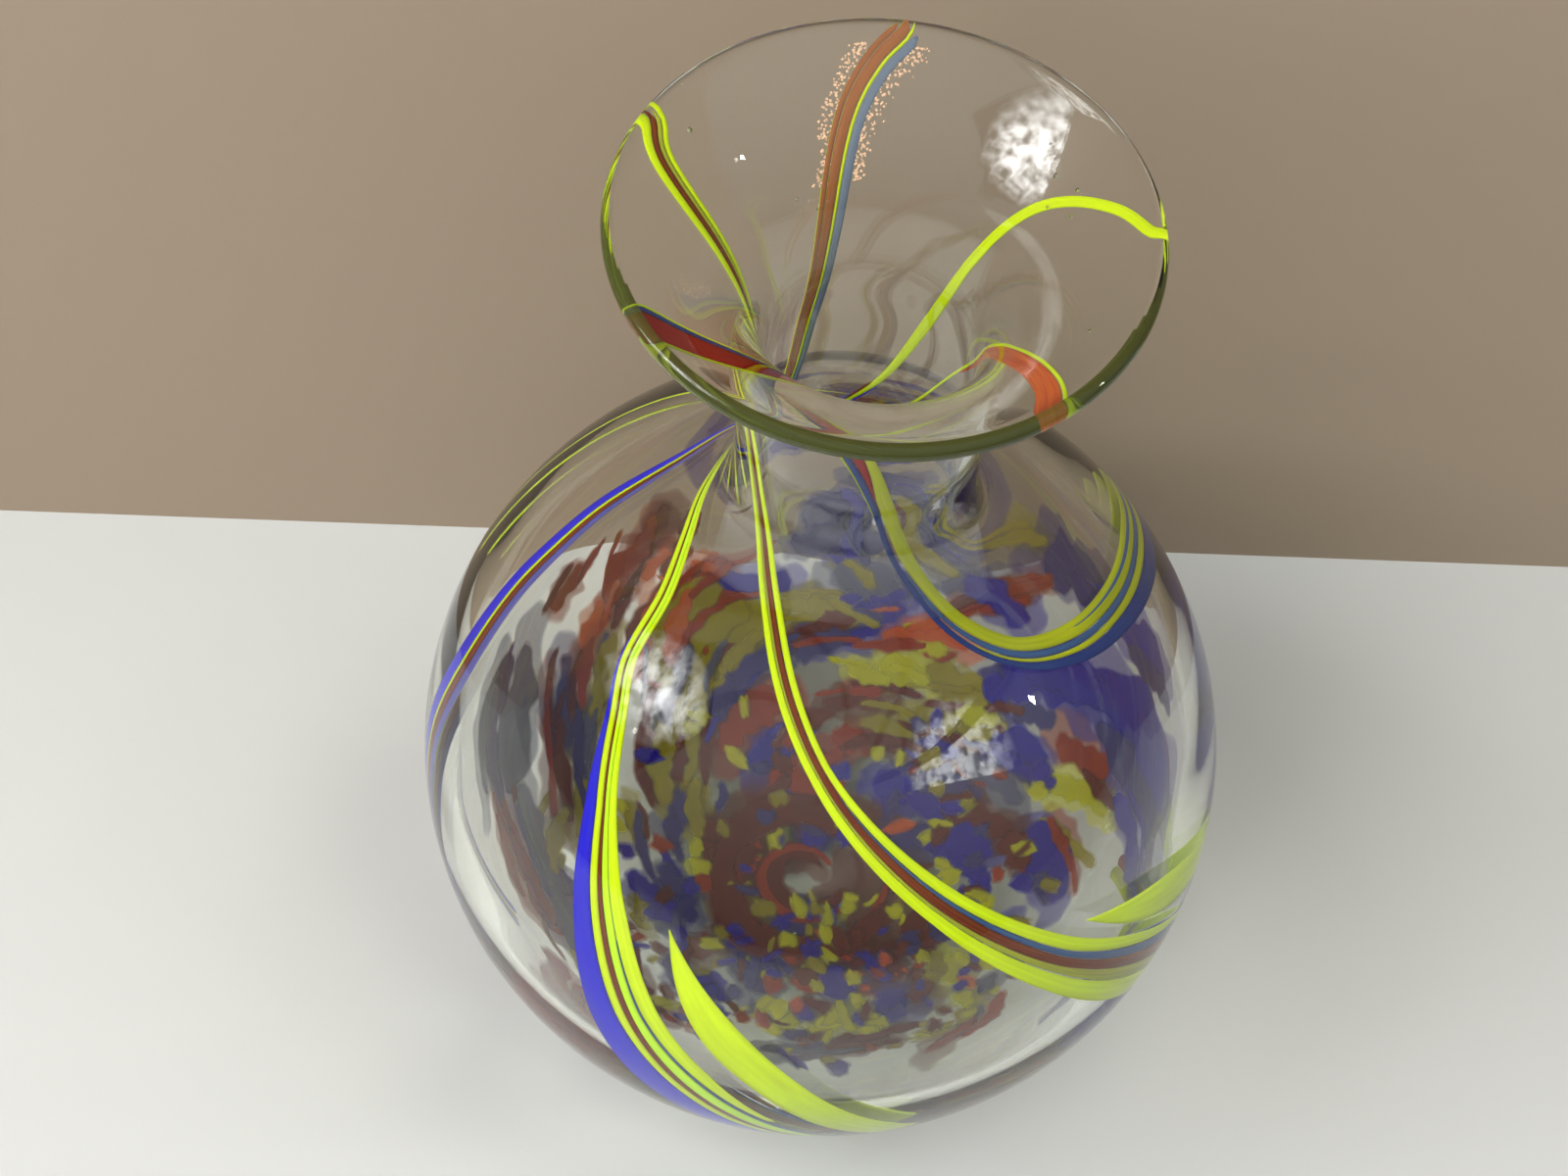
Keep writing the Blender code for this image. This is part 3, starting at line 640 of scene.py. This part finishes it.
# Cane C: from the right of the mouth round the back to the left side. One bright yellow ribbon seen from inside the
# mouth; on the ball, cobalt over a grey-green thread, dark brown and violet.
CANE_C = [(6, 4.35), (7, 3.99), (18, 3.93), (33, 3.78), (43, 3.49), (53, 3.2), (75, 2.71), (95, 2.47),
          (115, 2.31), (135, 2.2), (154, 2.1), (173, 1.9), (182, 1.72), (189, 1.5), (193, 1.2), (200, 0.95),
          (212, 0.78)]
strand("cane_c_cobalt", CANE_C, [
    (2.6, 0.9, 0.8), (2.3, 1.6, 0.4), (2.0, 2.3, 0.5), (1.7, 3.3, 0.7), (1.5, 4.2, 1.0), (1.2, 4.8, 1.2),
    (0.78, 4.4, 1.2),
], [cobalt], "cane_c_cobalt")
strand("cane_c_yellow", CANE_C, [
    (4.35, 1.1, -0.8), (3.6, 1.0, -0.8), (3.0, 1.2, -1.0), (2.6, 0.8, -0.5), (2.3, 0.35, -0.2), (2.0, 0.45, -0.1),
    (1.5, 0.9, 0.2), (0.78, 1.0, 0.3),
], [lemon], "cane_c_yellow")
strand("cane_c_brown", CANE_C, [
    (2.6, -0.6, -0.7), (2.3, -0.3, -0.9), (2.0, -0.2, -1.0), (1.5, 0.1, -1.8), (1.2, 0.1, -2.2), (0.78, 0.2, -1.8),
], [brown], "cane_c_brown")
strand("cane_c_violet", CANE_C, [
    (2.5, -0.8, -1.0), (2.3, -1.0, -1.6), (2.0, -1.1, -2.2), (1.5, -1.9, -4.2), (1.2, -2.3, -5.0), (0.78, -1.9, -4.8),
], [violet], "cane_c_violet")

# Cane D: from the left front of the mouth down the neck and out into a loop on the right shoulder. Dark red in the
# mouth with blue and yellow edges; on the ball, yellow and dark blue by turns with a wide dark blue edge.
CANE_D = [(212, 4.4), (213, 3.99), (222, 3.9), (236, 3.72), (252, 3.51), (270, 3.25), (281, 3.0), (293, 2.69),
          (307, 2.43), (319, 2.24), (332, 2.09), (346, 1.99), (363, 1.87), (379, 1.74), (391, 1.61), (402, 1.46)]
strand("cane_d_wide_cobalt", CANE_D, [
    (4.2, 3.1, 2.2), (3.6, 2.8, 1.9), (3.3, 2.2, 1.1), (3.0, 1.9, 0.8), (2.4, 1.8, 0.8), (2.1, 2.8, 1.9),
    (1.99, 4.2, 2.3), (1.74, 6.4, 2.5), (1.46, 6.0, 2.4),
], [ocean], "cane_d_blue_outer")
strand("cane_d_outer_lime", CANE_D, [
    (4.3, 3.6, 3.2), (3.6, 3.2, 2.85), (3.2, 2.4, 2.2), (2.9, 1.9, 1.8),
], [lemon])
# This yellow strand takes the darker yellow, as painted shade from the mouth.
strand("cane_d_outer_yellow", CANE_D, [
    (2.2, 1.5, 1.3), (2.1, 1.8, 1.3), (1.99, 2.2, 1.2), (1.74, 2.4, 0.6), (1.46, 2.2, 0.6),
], [shaded_yellow], "cane_d_yellow_outer")
strand("cane_d_dark_blue", CANE_D, [
    (2.6, 0.7, 0.6), (2.4, 0.75, 0.2), (2.1, 1.2, 0.1), (1.99, 1.1, -0.1), (1.74, 0.5, -0.6), (1.46, 0.5, -0.6),
], [slate], "cane_d_blue_inner")
# This yellow strand takes the darker yellow, as painted shade from the mouth.
strand("cane_d_inner_yellow", CANE_D, [
    (4.3, -3.1, -3.5), (3.6, -2.5, -3.0), (3.3, -1.1, -2.3), (3.0, 0.7, -1.9), (2.4, 0.1, -2.0), (2.1, 0.05, -2.3),
    (1.99, -0.2, -3.2), (1.74, -0.65, -4.4), (1.46, -0.7, -4.2),
], [shaded_yellow], "cane_d_yellow_inner")
strand("cane_d_blue_thread", CANE_D, [
    (1.99, -1.9, -2.0), (1.87, -2.0, -2.6), (1.74, -2.0, -3.0), (1.46, -2.0, -2.9),
], [slate], sink=0.00004, thickness=0.0003)
strand("cane_d_dark_red", CANE_D, [
    (4.4, 2.1, -3.0), (3.6, 1.8, -2.4), (3.3, 1.0, -1.1), (3.0, 0.75, 0.7), (2.9, 0.72, 0.7),
], [red], "cane_d_red")

# Cane E: a twist of orange-red at the right front of the mouth that thins to a faint yellow thread over the back of
# the shoulder.
CANE_E = [(309, 4.3), (310, 3.99), (316, 3.93), (330, 3.7), (346, 3.5), (364, 3.3), (393, 2.92), (420, 2.57),
          (450, 2.27), (475, 2.06), (489, 1.86), (508, 1.6), (526, 1.24)]
strand("cane_e_orange", CANE_E, [
    (4.3, 2.6, -1.6), (3.9, 2.4, -1.4), (3.7, 2.0, -1.2), (3.4, 1.4, -0.8), (3.1, 0.8, 0.0), (2.9, 0.3, 0.1),
], [orange], "cane_e_orange")
strand("cane_e_yellow", CANE_E, [
    (4.2, -1.7, -2.4), (3.7, -1.2, -1.8), (3.1, -0.1, -0.6), (2.5, 0.2, -0.3), (2.0, 0.3, -0.3), (1.3, 0.2, -0.2),
], [lemon], "cane_e_yellow")

# ---------------------------------------------------------------- Yellow leaves
# Two broad tongues of yellow cane low on the front and the right, each pointed where it starts.
LEAVES = {
    "yellow_leaf_front": [(249, 1.52), (254, 1.38), (260, 1.24), (268, 1.08), (277, 0.93), (288, 0.80)],
    "yellow_leaf_right": [(315, 1.43), (323, 1.34), (332, 1.24), (342, 1.12), (352, 0.98), (362, 0.86)],
}
LEAF_HALF_WIDTH = 0.0044
LEAF_POINT = 0.030  # a leaf widens as a quarter of a sine over this length
for node, route in LEAVES.items():
    path, along = smooth_route(outer_skin, route, CANE_STEP)
    half = LEAF_HALF_WIDTH * np.sin(np.clip(along / LEAF_POINT, 0.04, 1) * math.pi / 2)
    piece = ribbon(
        node + "_glass", outer_skin, path, along, half, -half, -CANE_SINK - CANE_THICKNESS / 2, CANE_THICKNESS,
        [lemon],
    )
    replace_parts(piece, node)

# ---------------------------------------------------------------- Frit
# Chips of coloured glass rolled onto the first gather and cased by the second. Twisting and blowing drew them out
# into soft streaks that swirl from the bottom; under the floor they stay a dense mosaic of small spots.
BED_DEPTH = (0.0024, 0.0048, 0.0014)
CHIP_THICKNESS = 0.0006
CHIP_STEP = 0.0009
CHIP_SIDES = 20
MELTED_SIDE = 0.0020
MELTED_TIP = 0.0026
# How deep the small chips, veils and spots start. Each next piece lies a few hundredths of a millimetre deeper or
# higher, so that no two lie in the same place.
SMALL_CHIP_DEPTH = 0.0005
VEIL_DEPTH = -0.0001
SPOT_DEPTH = 0.0011
bed = Surface(np.linspace(0, 4, LINE_POINTS), wall_line(np.linspace(0, 4, LINE_POINTS), *BED_DEPTH))
chance = np.random.default_rng(11)


def frit_glass(name, colour, deep, strength):
    """Coloured glass that is partly clear: dense in the middle of a chip, mottled, and melted away at its edge.
    strength is how much it covers in the middle."""
    material, nodes, links = new_material(name)
    shader = nodes["Principled BSDF"]
    fill(shader, {"Roughness": 0.3, "IOR": 1.0, "Transmission Weight": 0.45})
    place = nodes.new("ShaderNodeTexCoord")
    noise = nodes.new("ShaderNodeTexNoise")
    fill(noise, {"Scale": 130, "Detail": 3})
    mix = nodes.new("ShaderNodeMix")
    mix.data_type = "RGBA"
    fill(mix, {"A": (*colour, 1), "B": (*deep, 1)})
    body = nodes.new("ShaderNodeAttribute")
    body.attribute_name = "melt"
    solid = nodes.new("ShaderNodeMapRange")
    solid.interpolation_type = "SMOOTHSTEP"
    fill(solid, {"From Max": 0.75, "To Max": strength})
    wire(
        links, (place, "Object", noise, "Vector"), (noise, "Fac", mix, "Factor"),
        (mix, "Result", shader, "Base Color"), (body, "Fac", solid, "Value"), (solid, "Result", shader, "Alpha"),
    )
    return material


FRIT_COLOURS = {
    "cobalt": ((0.022, 0.013, 0.32), (0.035, 0.020, 0.21), 0.97),
    "navy": ((0.032, 0.026, 0.16), (0.05, 0.04, 0.13), 0.92),
    "slate": ((0.07, 0.07, 0.14), (0.10, 0.10, 0.17), 0.75),
    "olive": ((0.34, 0.29, 0.015), (0.20, 0.15, 0.01), 0.95),
    "lemon": ((0.55, 0.55, 0.015), (0.38, 0.35, 0.01), 0.96),
    "brick": ((0.33, 0.040, 0.010), (0.19, 0.020, 0.008), 0.95),
    "brown": ((0.090, 0.010, 0.009), (0.13, 0.024, 0.010), 0.93),
    "orange": ((0.60, 0.13, 0.03), (0.42, 0.06, 0.02), 0.85),
    "red": ((0.38, 0.025, 0.015), (0.24, 0.015, 0.015), 0.9),
}
FRIT = {name: frit_glass("frit_" + name, *look) for name, look in FRIT_COLOURS.items()}
VEIL = {name: frit_glass("veil_" + name, *look[:2], 0.42) for name, look in FRIT_COLOURS.items()}


def chip(start, end, width, bow=0.0, depth=0.0):
    """One chip drawn out into a streak, as (points, faces, how much of the colour is left at each point). start and
    end are (turn, degrees up from the bottom); width and bow, how far its middle lies to the left, are millimetres.
    Its outline is a wavering ellipse whose half width at t along it is width / 2 * (1 - (2t - 1)^2)^0.4, and its
    body a flat lens that is closed along the outline."""
    ends = [start, ((start[0] + end[0]) / 2, (start[1] + end[1]) / 2), end]
    route = [(turn, up / 90 if up <= 90 else 1 + (up - 90) / SHOULDER_ANGLE) for turn, up in ends]
    path, along = smooth_route(bed, route, CHIP_STEP)
    middle, normal = bed.at(path[:, 0], path[:, 1])
    way = np.gradient(middle, axis=0)
    way /= np.linalg.norm(way, axis=1, keepdims=True)
    across = np.cross(way, normal)
    across /= np.linalg.norm(across, axis=1, keepdims=True)
    t = along / along[-1]
    to_end = 1 - (2 * t - 1) ** 2
    waver = [
        1 + 0.22 * np.sin(2 * math.pi * t * chance.uniform(0.8, 2.2) + chance.uniform(0, 6))
        + 0.12 * np.sin(2 * math.pi * t * chance.uniform(3, 5) + chance.uniform(0, 6))
        for _ in (0, 1)
    ]
    half = np.clip(to_end, 0.001, 1) ** 0.4 * width / 2000 * np.array(waver)
    around = np.linspace(0, 2 * math.pi, CHIP_SIDES, endpoint=False)
    share = np.cos(around)
    reach = np.where(share < 0, half[0][:, None], half[1][:, None])
    sideways = bow / 1000 * np.sin(math.pi * t)
    flat = middle[:, None] + across[:, None] * (sideways[:, None] + reach * share)[..., None]
    lift = CHIP_THICKNESS / 2 * np.sin(around) * np.sqrt(np.clip(to_end, 0.001, 1))[:, None]
    points = bed.laid(flat, lift - depth)
    edge = reach * (1 - np.abs(share)) / MELTED_SIDE
    tip = (np.minimum(t, 1 - t) * along[-1] / MELTED_TIP)[:, None]
    melt = np.clip(np.minimum(np.maximum(edge, (1 - np.abs(share)) * 1.1), tip), 0, 1)
    return points.reshape(-1, 3), closed_tube_faces(len(t), CHIP_SIDES), melt.ravel()


def frit_piece(name, material, chips):
    """Chips of one colour as one object, with their melted edges marked."""
    first = np.cumsum([0, *[len(points) for points, _, _ in chips[:-1]]])
    points = np.vstack([points for points, _, _ in chips])
    faces = [[corner + start for corner in face] for start, (_, faces, _) in zip(first, chips) for face in faces]
    piece = mesh_piece(name, points, faces, [material])
    melt = piece.data.attributes.new("melt", "FLOAT", "POINT")
    melt.data.foreach_set("value", np.concatenate([melt for _, _, melt in chips]).astype(np.float32))
    return piece


# The chips large enough to tell apart: (turn, degrees up from the bottom) where each starts and ends, its width and
# how far it bows.
STREAKS = {
    "frit_cobalt_1": ("cobalt", (32, 66), (-8, 85), 18, 2),
    "frit_cobalt_2": ("cobalt", (43, 41), (24, 50), 8, 0),
    "frit_cobalt_3": ("navy", (90, 79), (70, 83), 7, 1),
    "frit_cobalt_4": ("cobalt", (92, 72), (86, 62), 7, 1),
    "frit_cobalt_5": ("cobalt", (92, 43), (73, 58), 12, 2),
    "frit_navy_1": ("navy", (54, 76), (36, 90), 15, 2),
    "frit_cobalt_6": ("cobalt", (62, 22), (36, 26), 8, -1),
    "frit_brick_1": ("brick", (62, 59), (50, 76), 6.5, 2),
    "frit_orange_1": ("orange", (77, 48), (57, 54), 6.5, 1),
    "frit_olive_1": ("lemon", (76, 42), (60, 45), 8, 0),
    "frit_olive_2": ("lemon", (22, 47), (4, 61), 7, 1),
    "frit_olive_3": ("olive", (62, 37), (38, 43), 7, 0),
    "frit_orange_2": ("brick", (28, 53), (12, 62), 8, 0),
    "frit_olive_4": ("olive", (128, 42), (98, 53), 13, 3),
    "frit_brown_1": ("brown", (104, 44), (84, 47), 4.5, 1),
    "frit_olive_5": ("olive", (151, 26), (119, 43), 7, -2),
    "frit_brick_2": ("brick", (129, 26), (101, 35), 10, 1),
    "frit_brick_3": ("brick", (120, 14), (92, 22), 9, 0),
    "frit_brown_2": ("brown", (90, 33), (69, 36), 5, 0),
    "frit_orange_3": ("orange", (137, 50), (117, 62), 8, 0),
    "frit_navy_2": ("navy", (166, 49), (150, 62), 7, -1),
    "frit_olive_6": ("olive", (186, 42), (158, 47), 5, -1),
    "frit_navy_3": ("slate", (184, 60), (156, 72), 13, -2),
    "frit_brick_4": ("brick", (198, 58), (181, 68), 6, -1),
    "frit_brick_5": ("brick", (213, 51), (193, 61), 9, 0),
    "frit_red_1": ("red", (230, 71), (219, 62), 10, 0),
    "frit_navy_4": ("navy", (178, 23), (150, 28), 6, -1),
    "frit_cobalt_7": ("navy", (268, 3), (270, 14), 6.5, 0),
    "frit_cobalt_8": ("cobalt", (302, 36), (304, 28), 8, 0),
    "frit_olive_7": ("lemon", (264, 34), (275, 29), 5.5, 0),
    "frit_brown_3": ("brown", (322, 19), (304, 27), 10, 0),
    "frit_olive_8": ("lemon", (329, 30), (320, 38), 8, 0),
    "frit_cobalt_9": ("navy", (240, 13), (250, 24), 8, 1),
    "frit_brown_4": ("brown", (318, 46), (300, 53), 7, 0),
}
for number, (node, (colour, start, end, width, bow)) in enumerate(STREAKS.items()):
    made = [chip(start, end, width, bow, number % 4 * 0.00012)]
    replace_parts(frit_piece(node + "_streak", FRIT[colour], made), node)

# The chips that lie over, under and between them, by colour. The bow is left out where there is none.
SMALL_CHIPS = {
    "cobalt": [
        ((126, 14), (110, 11), 5), ((98, 9), (62, 8), 5.5), ((50, 48), (40, 56), 8), ((48, 54), (26, 68), 13, 2),
        ((12, 42), (-12, 50), 9), ((20, 26), (4, 34), 8), ((116, 60), (98, 58), 7, 1), ((8, 64), (-16, 74), 6),
        ((330, 6), (318, 8), 4), ((320, 16), (312, 14), 4.5), ((287, 18), (288, 29), 7), ((82, 57), (74, 62), 5),
        ((345, 38), (332, 44), 6), ((318, 74), (340, 84), 7), ((110, 88), (96, 98), 8), ((84, 92), (70, 104), 8),
        ((14, 96), (34, 84), 12), ((120, 20), (104, 27), 6), ((66, 70), (50, 64), 7), ((212, 24), (196, 30), 7),
        ((250, 8), (262, 10), 6),
    ],
    "navy": [
        ((46, 26), (29, 33), 9), ((36, 17), (14, 25), 6), ((126, 33), (98, 44), 5.5, 1),
        ((100, 67), (84, 74), 8, -1), ((165, 22), (150, 26), 5), ((255, 13), (258, 28), 7),
        ((236, 15), (245, 20), 5), ((276, 34), (268, 38), 5), ((200, 20), (216, 26), 6), ((186, 26), (203, 22), 6),
        ((80, 80), (66, 74), 5), ((170, 44), (155, 52), 4.5), ((352, 30), (340, 33), 5), ((212, 42), (196, 46), 6),
        ((225, 30), (236, 36), 6),
    ],
    "slate": [
        ((205, 49), (178, 58), 9, -1), ((122, 49), (133, 39), 4), ((134, 42), (143, 34), 6),
        ((90, 60), (76, 64), 8), ((40, 35), (18, 42), 6), ((150, 51), (170, 43), 4.5), ((222, 48), (200, 52), 8),
        ((326, 42), (322, 46), 5), ((70, 66), (58, 70), 7), ((190, 72), (166, 76), 6), ((282, 40), (262, 44), 6),
    ],
    "olive": [
        ((140, 38), (162, 27), 6, 1), ((142, 26), (168, 19), 4.5), ((102, 53), (84, 56), 6),
        ((138, 58), (156, 47), 6), ((178, 46), (198, 50), 5), ((76, 31), (56, 33), 4.5),
        ((132, 48), (112, 60), 8, 2), ((108, 44), (122, 36), 6), ((96, 56), (82, 50), 7), ((88, 66), (80, 60), 4),
        ((58, 42), (46, 48), 6), ((236, 7), (224, 13), 4.5), ((252, 12), (254, 18), 3), ((166, 34), (182, 30), 5),
        ((200, 30), (214, 33), 5), ((308, 42), (303, 47), 6), ((66, 80), (54, 82), 4), ((78, 74), (66, 70), 5),
        ((235, 28), (246, 31), 4), ((215, 52), (230, 56), 4), ((190, 12), (204, 15), 4),
    ],
    "lemon": [
        ((138, 9), (112, 8), 5), ((334, 11), (316, 9), 3.5), ((304, 8), (290, 15), 4), ((288, 14), (282, 17), 3),
        ((284, 29), (281, 35), 6), ((293, 28), (295, 38), 4), ((318, 39), (317, 45), 4), ((307, 43), (306, 46), 6),
        ((178, 18), (194, 18), 5.5), ((52, 41), (40, 46), 5), ((30, 24), (18, 29), 3), ((288, 34), (300, 36), 3.5),
        ((162, 6), (148, 6), 3), ((84, 40), (70, 40), 4), ((350, 20), (342, 22), 3), ((256, 20), (259, 24), 3),
        ((68, 49), (60, 51), 4),
    ],
    "brick": [
        ((100, 21), (86, 14), 7), ((85, 26), (68, 29), 6), ((126, 72), (140, 61), 7, -1), ((142, 63), (156, 51), 4),
        ((131, 50), (126, 44), 4), ((156, 62), (167, 55), 2.5), ((108, 66), (122, 57), 3, 1),
        ((119, 55), (103, 57), 3), ((120, 78), (131, 66), 5), ((206, 60), (190, 68), 4), ((82, 36), (71, 38), 3),
        ((300, 24), (298, 27), 2.5), ((240, 40), (252, 44), 6), ((12, 46), (-6, 52), 3.5), ((167, 8), (160, 8), 3),
        ((60, 62), (52, 70), 4), ((150, 72), (140, 78), 5), ((228, 74), (243, 60), 7),
    ],
    "brown": [
        ((188, 12), (138, 14), 10), ((168, 17), (150, 19), 6), ((102, 13), (72, 12), 6), ((22, 12), (344, 16), 8),
        ((45, 4), (350, 8), 6), ((268, 19), (284, 23), 6), ((70, 27), (38, 34), 5), ((34, 27), (10, 38), 7),
        ((12, 36), (-2, 42), 7), ((137, 34), (151, 27), 4.5), ((160, 55), (183, 44), 5.5),
        ((318, 30), (308, 37), 6), ((298, 14), (312, 20), 5), ((94, 48), (82, 53), 6), ((298, 41), (276, 40), 9),
        ((220, 16), (238, 11), 6), ((222, 20), (232, 28), 6), ((214, 46), (202, 52), 5), ((118, 80), (126, 70), 4),
        ((272, 27), (285, 30), 4), ((225, 40), (240, 46), 5), ((338, 24), (330, 28), 5), ((210, 9), (196, 9), 5),
    ],
    "orange": [
        ((130, 47), (118, 60), 5), ((300, 25), (297, 28), 2.5), ((168, 8), (160, 9), 3.5), ((72, 52), (64, 56), 4),
        ((118, 66), (110, 62), 3.5), ((148, 60), (138, 66), 5), ((128, 64), (120, 70), 4),
        ((285, 12), (292, 11), 2.5),
    ],
}
for number, (colour, chips) in enumerate(SMALL_CHIPS.items()):
    made = [
        chip(start, end, width * 1.15, *(bow or [0]), SMALL_CHIP_DEPTH + (k * 3 + number) % 8 * 0.00009)
        for k, (start, end, width, *bow) in enumerate(chips)
    ]
    frit_piece("small_frit_" + colour, FRIT[colour], made)

# Over each chip its colour has bled into a wider, fainter veil, and the twist pulled a wisp or two off beside it.
every_chip = [(colour, start, end, width) for colour, start, end, width, _ in STREAKS.values()]
every_chip += [(colour, *row[:3]) for colour, rows in SMALL_CHIPS.items() for row in rows]
NEXT_COLOUR = {
    "cobalt": "navy", "navy": "cobalt", "slate": "navy", "olive": "brown", "lemon": "olive", "brick": "brown",
    "brown": "brick", "orange": "brick", "red": "brick",
}
wisps = {colour: [] for colour in FRIT}
veils = {colour: [] for colour in FRIT}
for number, (colour, start, end, width) in enumerate(every_chip):
    middle = ((start[0] + end[0]) / 2, (start[1] + end[1]) / 2)
    longer = [
        tuple(at[k] + (at[k] - middle[k]) * 0.45 + chance.uniform(-2, 2) for k in (0, 1)) for at in (start, end)
    ]
    longer = [(turn, max(3, up)) for turn, up in longer]
    veils[colour].append(chip(*longer, width * 1.25 + 3.5, 0, VEIL_DEPTH - number % 9 * 0.00008))
    for k in range(1 + number % 2):
        turn, up = chance.uniform(-8, 8), chance.uniform(-4, 4)
        turn /= max(0.35, math.sin(math.radians(min(90, start[1]))))
        begin = (start[0] + turn, max(4, start[1] + up))
        finish = (end[0] + turn, max(4, end[1] + up))
        other = NEXT_COLOUR[colour] if chance.random() < 0.45 else colour
        thin = width * chance.uniform(0.5, 0.85)
        wisps[other].append(chip(begin, finish, thin, chance.uniform(-1.5, 1.5), (number + k * 5) % 9 * 0.00012))
for colour in FRIT:
    frit_piece("wisps_" + colour, FRIT[colour], wisps[colour])
    frit_piece("veils_" + colour, VEIL[colour], veils[colour])

# Small spots under the floor, where the chips were not drawn out, closest together at the front.
SPOTS = {"brown": 26, "cobalt": 46, "navy": 20, "brick": 14, "olive": 24, "lemon": 48, "orange": 4}
for number, (colour, count) in enumerate(SPOTS.items()):
    made = []
    for k in range(count):
        at_front = chance.random() < 0.55
        turn = chance.normal(300, 42) if at_front else chance.uniform(0, 360)
        up = (46 if at_front else 36) * math.sqrt(chance.uniform(0.0, 1)) + 2.5
        long = chance.uniform(3.2, 6.5) / math.sin(math.radians(max(up, 9)))
        made.append(chip(
            (turn, up), (turn - long * 0.7, up + chance.uniform(-2.5, 2.5)), chance.uniform(4.0, 7.5), 0,
            SPOT_DEPTH + (k * 2 + number) % 9 * 0.00008,
        ))
    frit_piece("spots_" + colour, FRIT[colour], made)

# ---------------------------------------------------------------- Gold flecks
# A dusting of coppery flakes that stuck to the glass along both sides of cane B, just under the lip.
flake, nodes, _ = new_material("copper_flake")
fill(nodes["Principled BSDF"], {"Base Color": (1.0, 0.66, 0.45, 1), "Metallic": 0.0, "Roughness": 0.35})
FLAKES = 420
FLAKE_SIZE = (0.00014, 0.00034)
FLAKE_DEPTH = 0.0006
side_of_cane = np.where(chance.random(FLAKES) < 0.5, -1.0, 1.0)
level = 3.97 - 0.34 * chance.random(FLAKES) ** 1.3
middle_turn = np.interp(level, [3.6, 3.79, 3.93, 3.99], [110, 105, 96, 90])
spread = 7.0 + 3.4 * chance.normal(0, 0.4, FLAKES)
turn = np.radians(middle_turn + side_of_cane * spread)
place, normal = outer_skin.at(turn, outer_skin.run_at(level))
lean = chance.normal(0, 0.5, (FLAKES, 3))
flat = np.cross(normal, lean)
flat /= np.linalg.norm(flat, axis=1, keepdims=True)
other = np.cross(normal + lean * 0.3, flat)
other /= np.linalg.norm(other, axis=1, keepdims=True)
up = np.cross(flat, other)
size = chance.uniform(*FLAKE_SIZE, (FLAKES, 1))
place = place - normal * FLAKE_DEPTH
corners = np.stack([
    place + flat * size, place + other * size, place - flat * size, place - other * size,
    place + up * 0.00004, place - up * 0.00004,
], 1).reshape(-1, 3)
first = np.arange(FLAKES)[:, None, None] * 6
faces = first + np.array([[0, 1, 4], [1, 2, 4], [2, 3, 4], [3, 0, 4], [1, 0, 5], [2, 1, 5], [3, 2, 5], [0, 3, 5]])
piece = mesh_piece("copper_flakes", corners, faces.reshape(-1, 3).tolist(), [flake])

# ---------------------------------------------------------------- Seed bubbles
# Tiny bubbles of air caught in the wall of the mouth and the shoulder. Each is a ball of air, so light bends the
# other way at it. place is (turn, level, how deep in the wall and how big in millimetres).
air, nodes, _ = new_material("air_bubble")
fill(nodes["Principled BSDF"], {"Roughness": 0.0, "IOR": 0.667, "Transmission Weight": 1.0})
BUBBLES = [
    (150, 3.93, 1.3, 0.9), (128, 3.62, 1.2, 0.5), (120, 3.56, 1.4, 0.4), (36, 3.86, 1.3, 0.8), (28, 3.88, 1.2, 0.7),
    (30, 3.80, 1.4, 0.5), (44, 3.9, 1.2, 0.5), (22, 3.84, 1.3, 0.6), (338, 3.9, 1.3, 0.6), (300, 2.4, 1.5, 0.5),
    (268, 1.6, 1.7, 0.5), (20, 1.35, 1.8, 0.6),
]
# A ball is rings of latitude with a point at each end.
BUBBLE_RINGS = 7
BUBBLE_SIDES = 14
ends = BUBBLE_RINGS * BUBBLE_SIDES
u = np.linspace(0, math.pi, BUBBLE_RINGS + 2)[1:-1]
v = np.linspace(0, 2 * math.pi, BUBBLE_SIDES, endpoint=False)
ball = np.stack([
    np.outer(np.sin(u), np.cos(v)), np.outer(np.sin(u), np.sin(v)), np.outer(np.cos(u), np.ones(BUBBLE_SIDES)),
], -1)
ball = np.vstack([ball.reshape(-1, 3), (0, 0, 1), (0, 0, -1)])
ball_faces = tube_faces(BUBBLE_RINGS, BUBBLE_SIDES)
ball_faces += [[j, (j + 1) % BUBBLE_SIDES, ends] for j in range(BUBBLE_SIDES)]
last = ends - BUBBLE_SIDES
ball_faces += [[last + (j + 1) % BUBBLE_SIDES, last + j, ends + 1] for j in range(BUBBLE_SIDES)]
points, faces = [], []
for number, (turn, level, depth, width) in enumerate(BUBBLES):
    place, normal = outer_skin.at(np.radians(turn), outer_skin.run_at(level))
    points.append(place - normal * depth / 1000 + ball * width / 2000)
    faces += [[corner + number * len(ball) for corner in face] for face in ball_faces]
piece = mesh_piece("seed_bubbles", np.vstack(points), faces, [air])
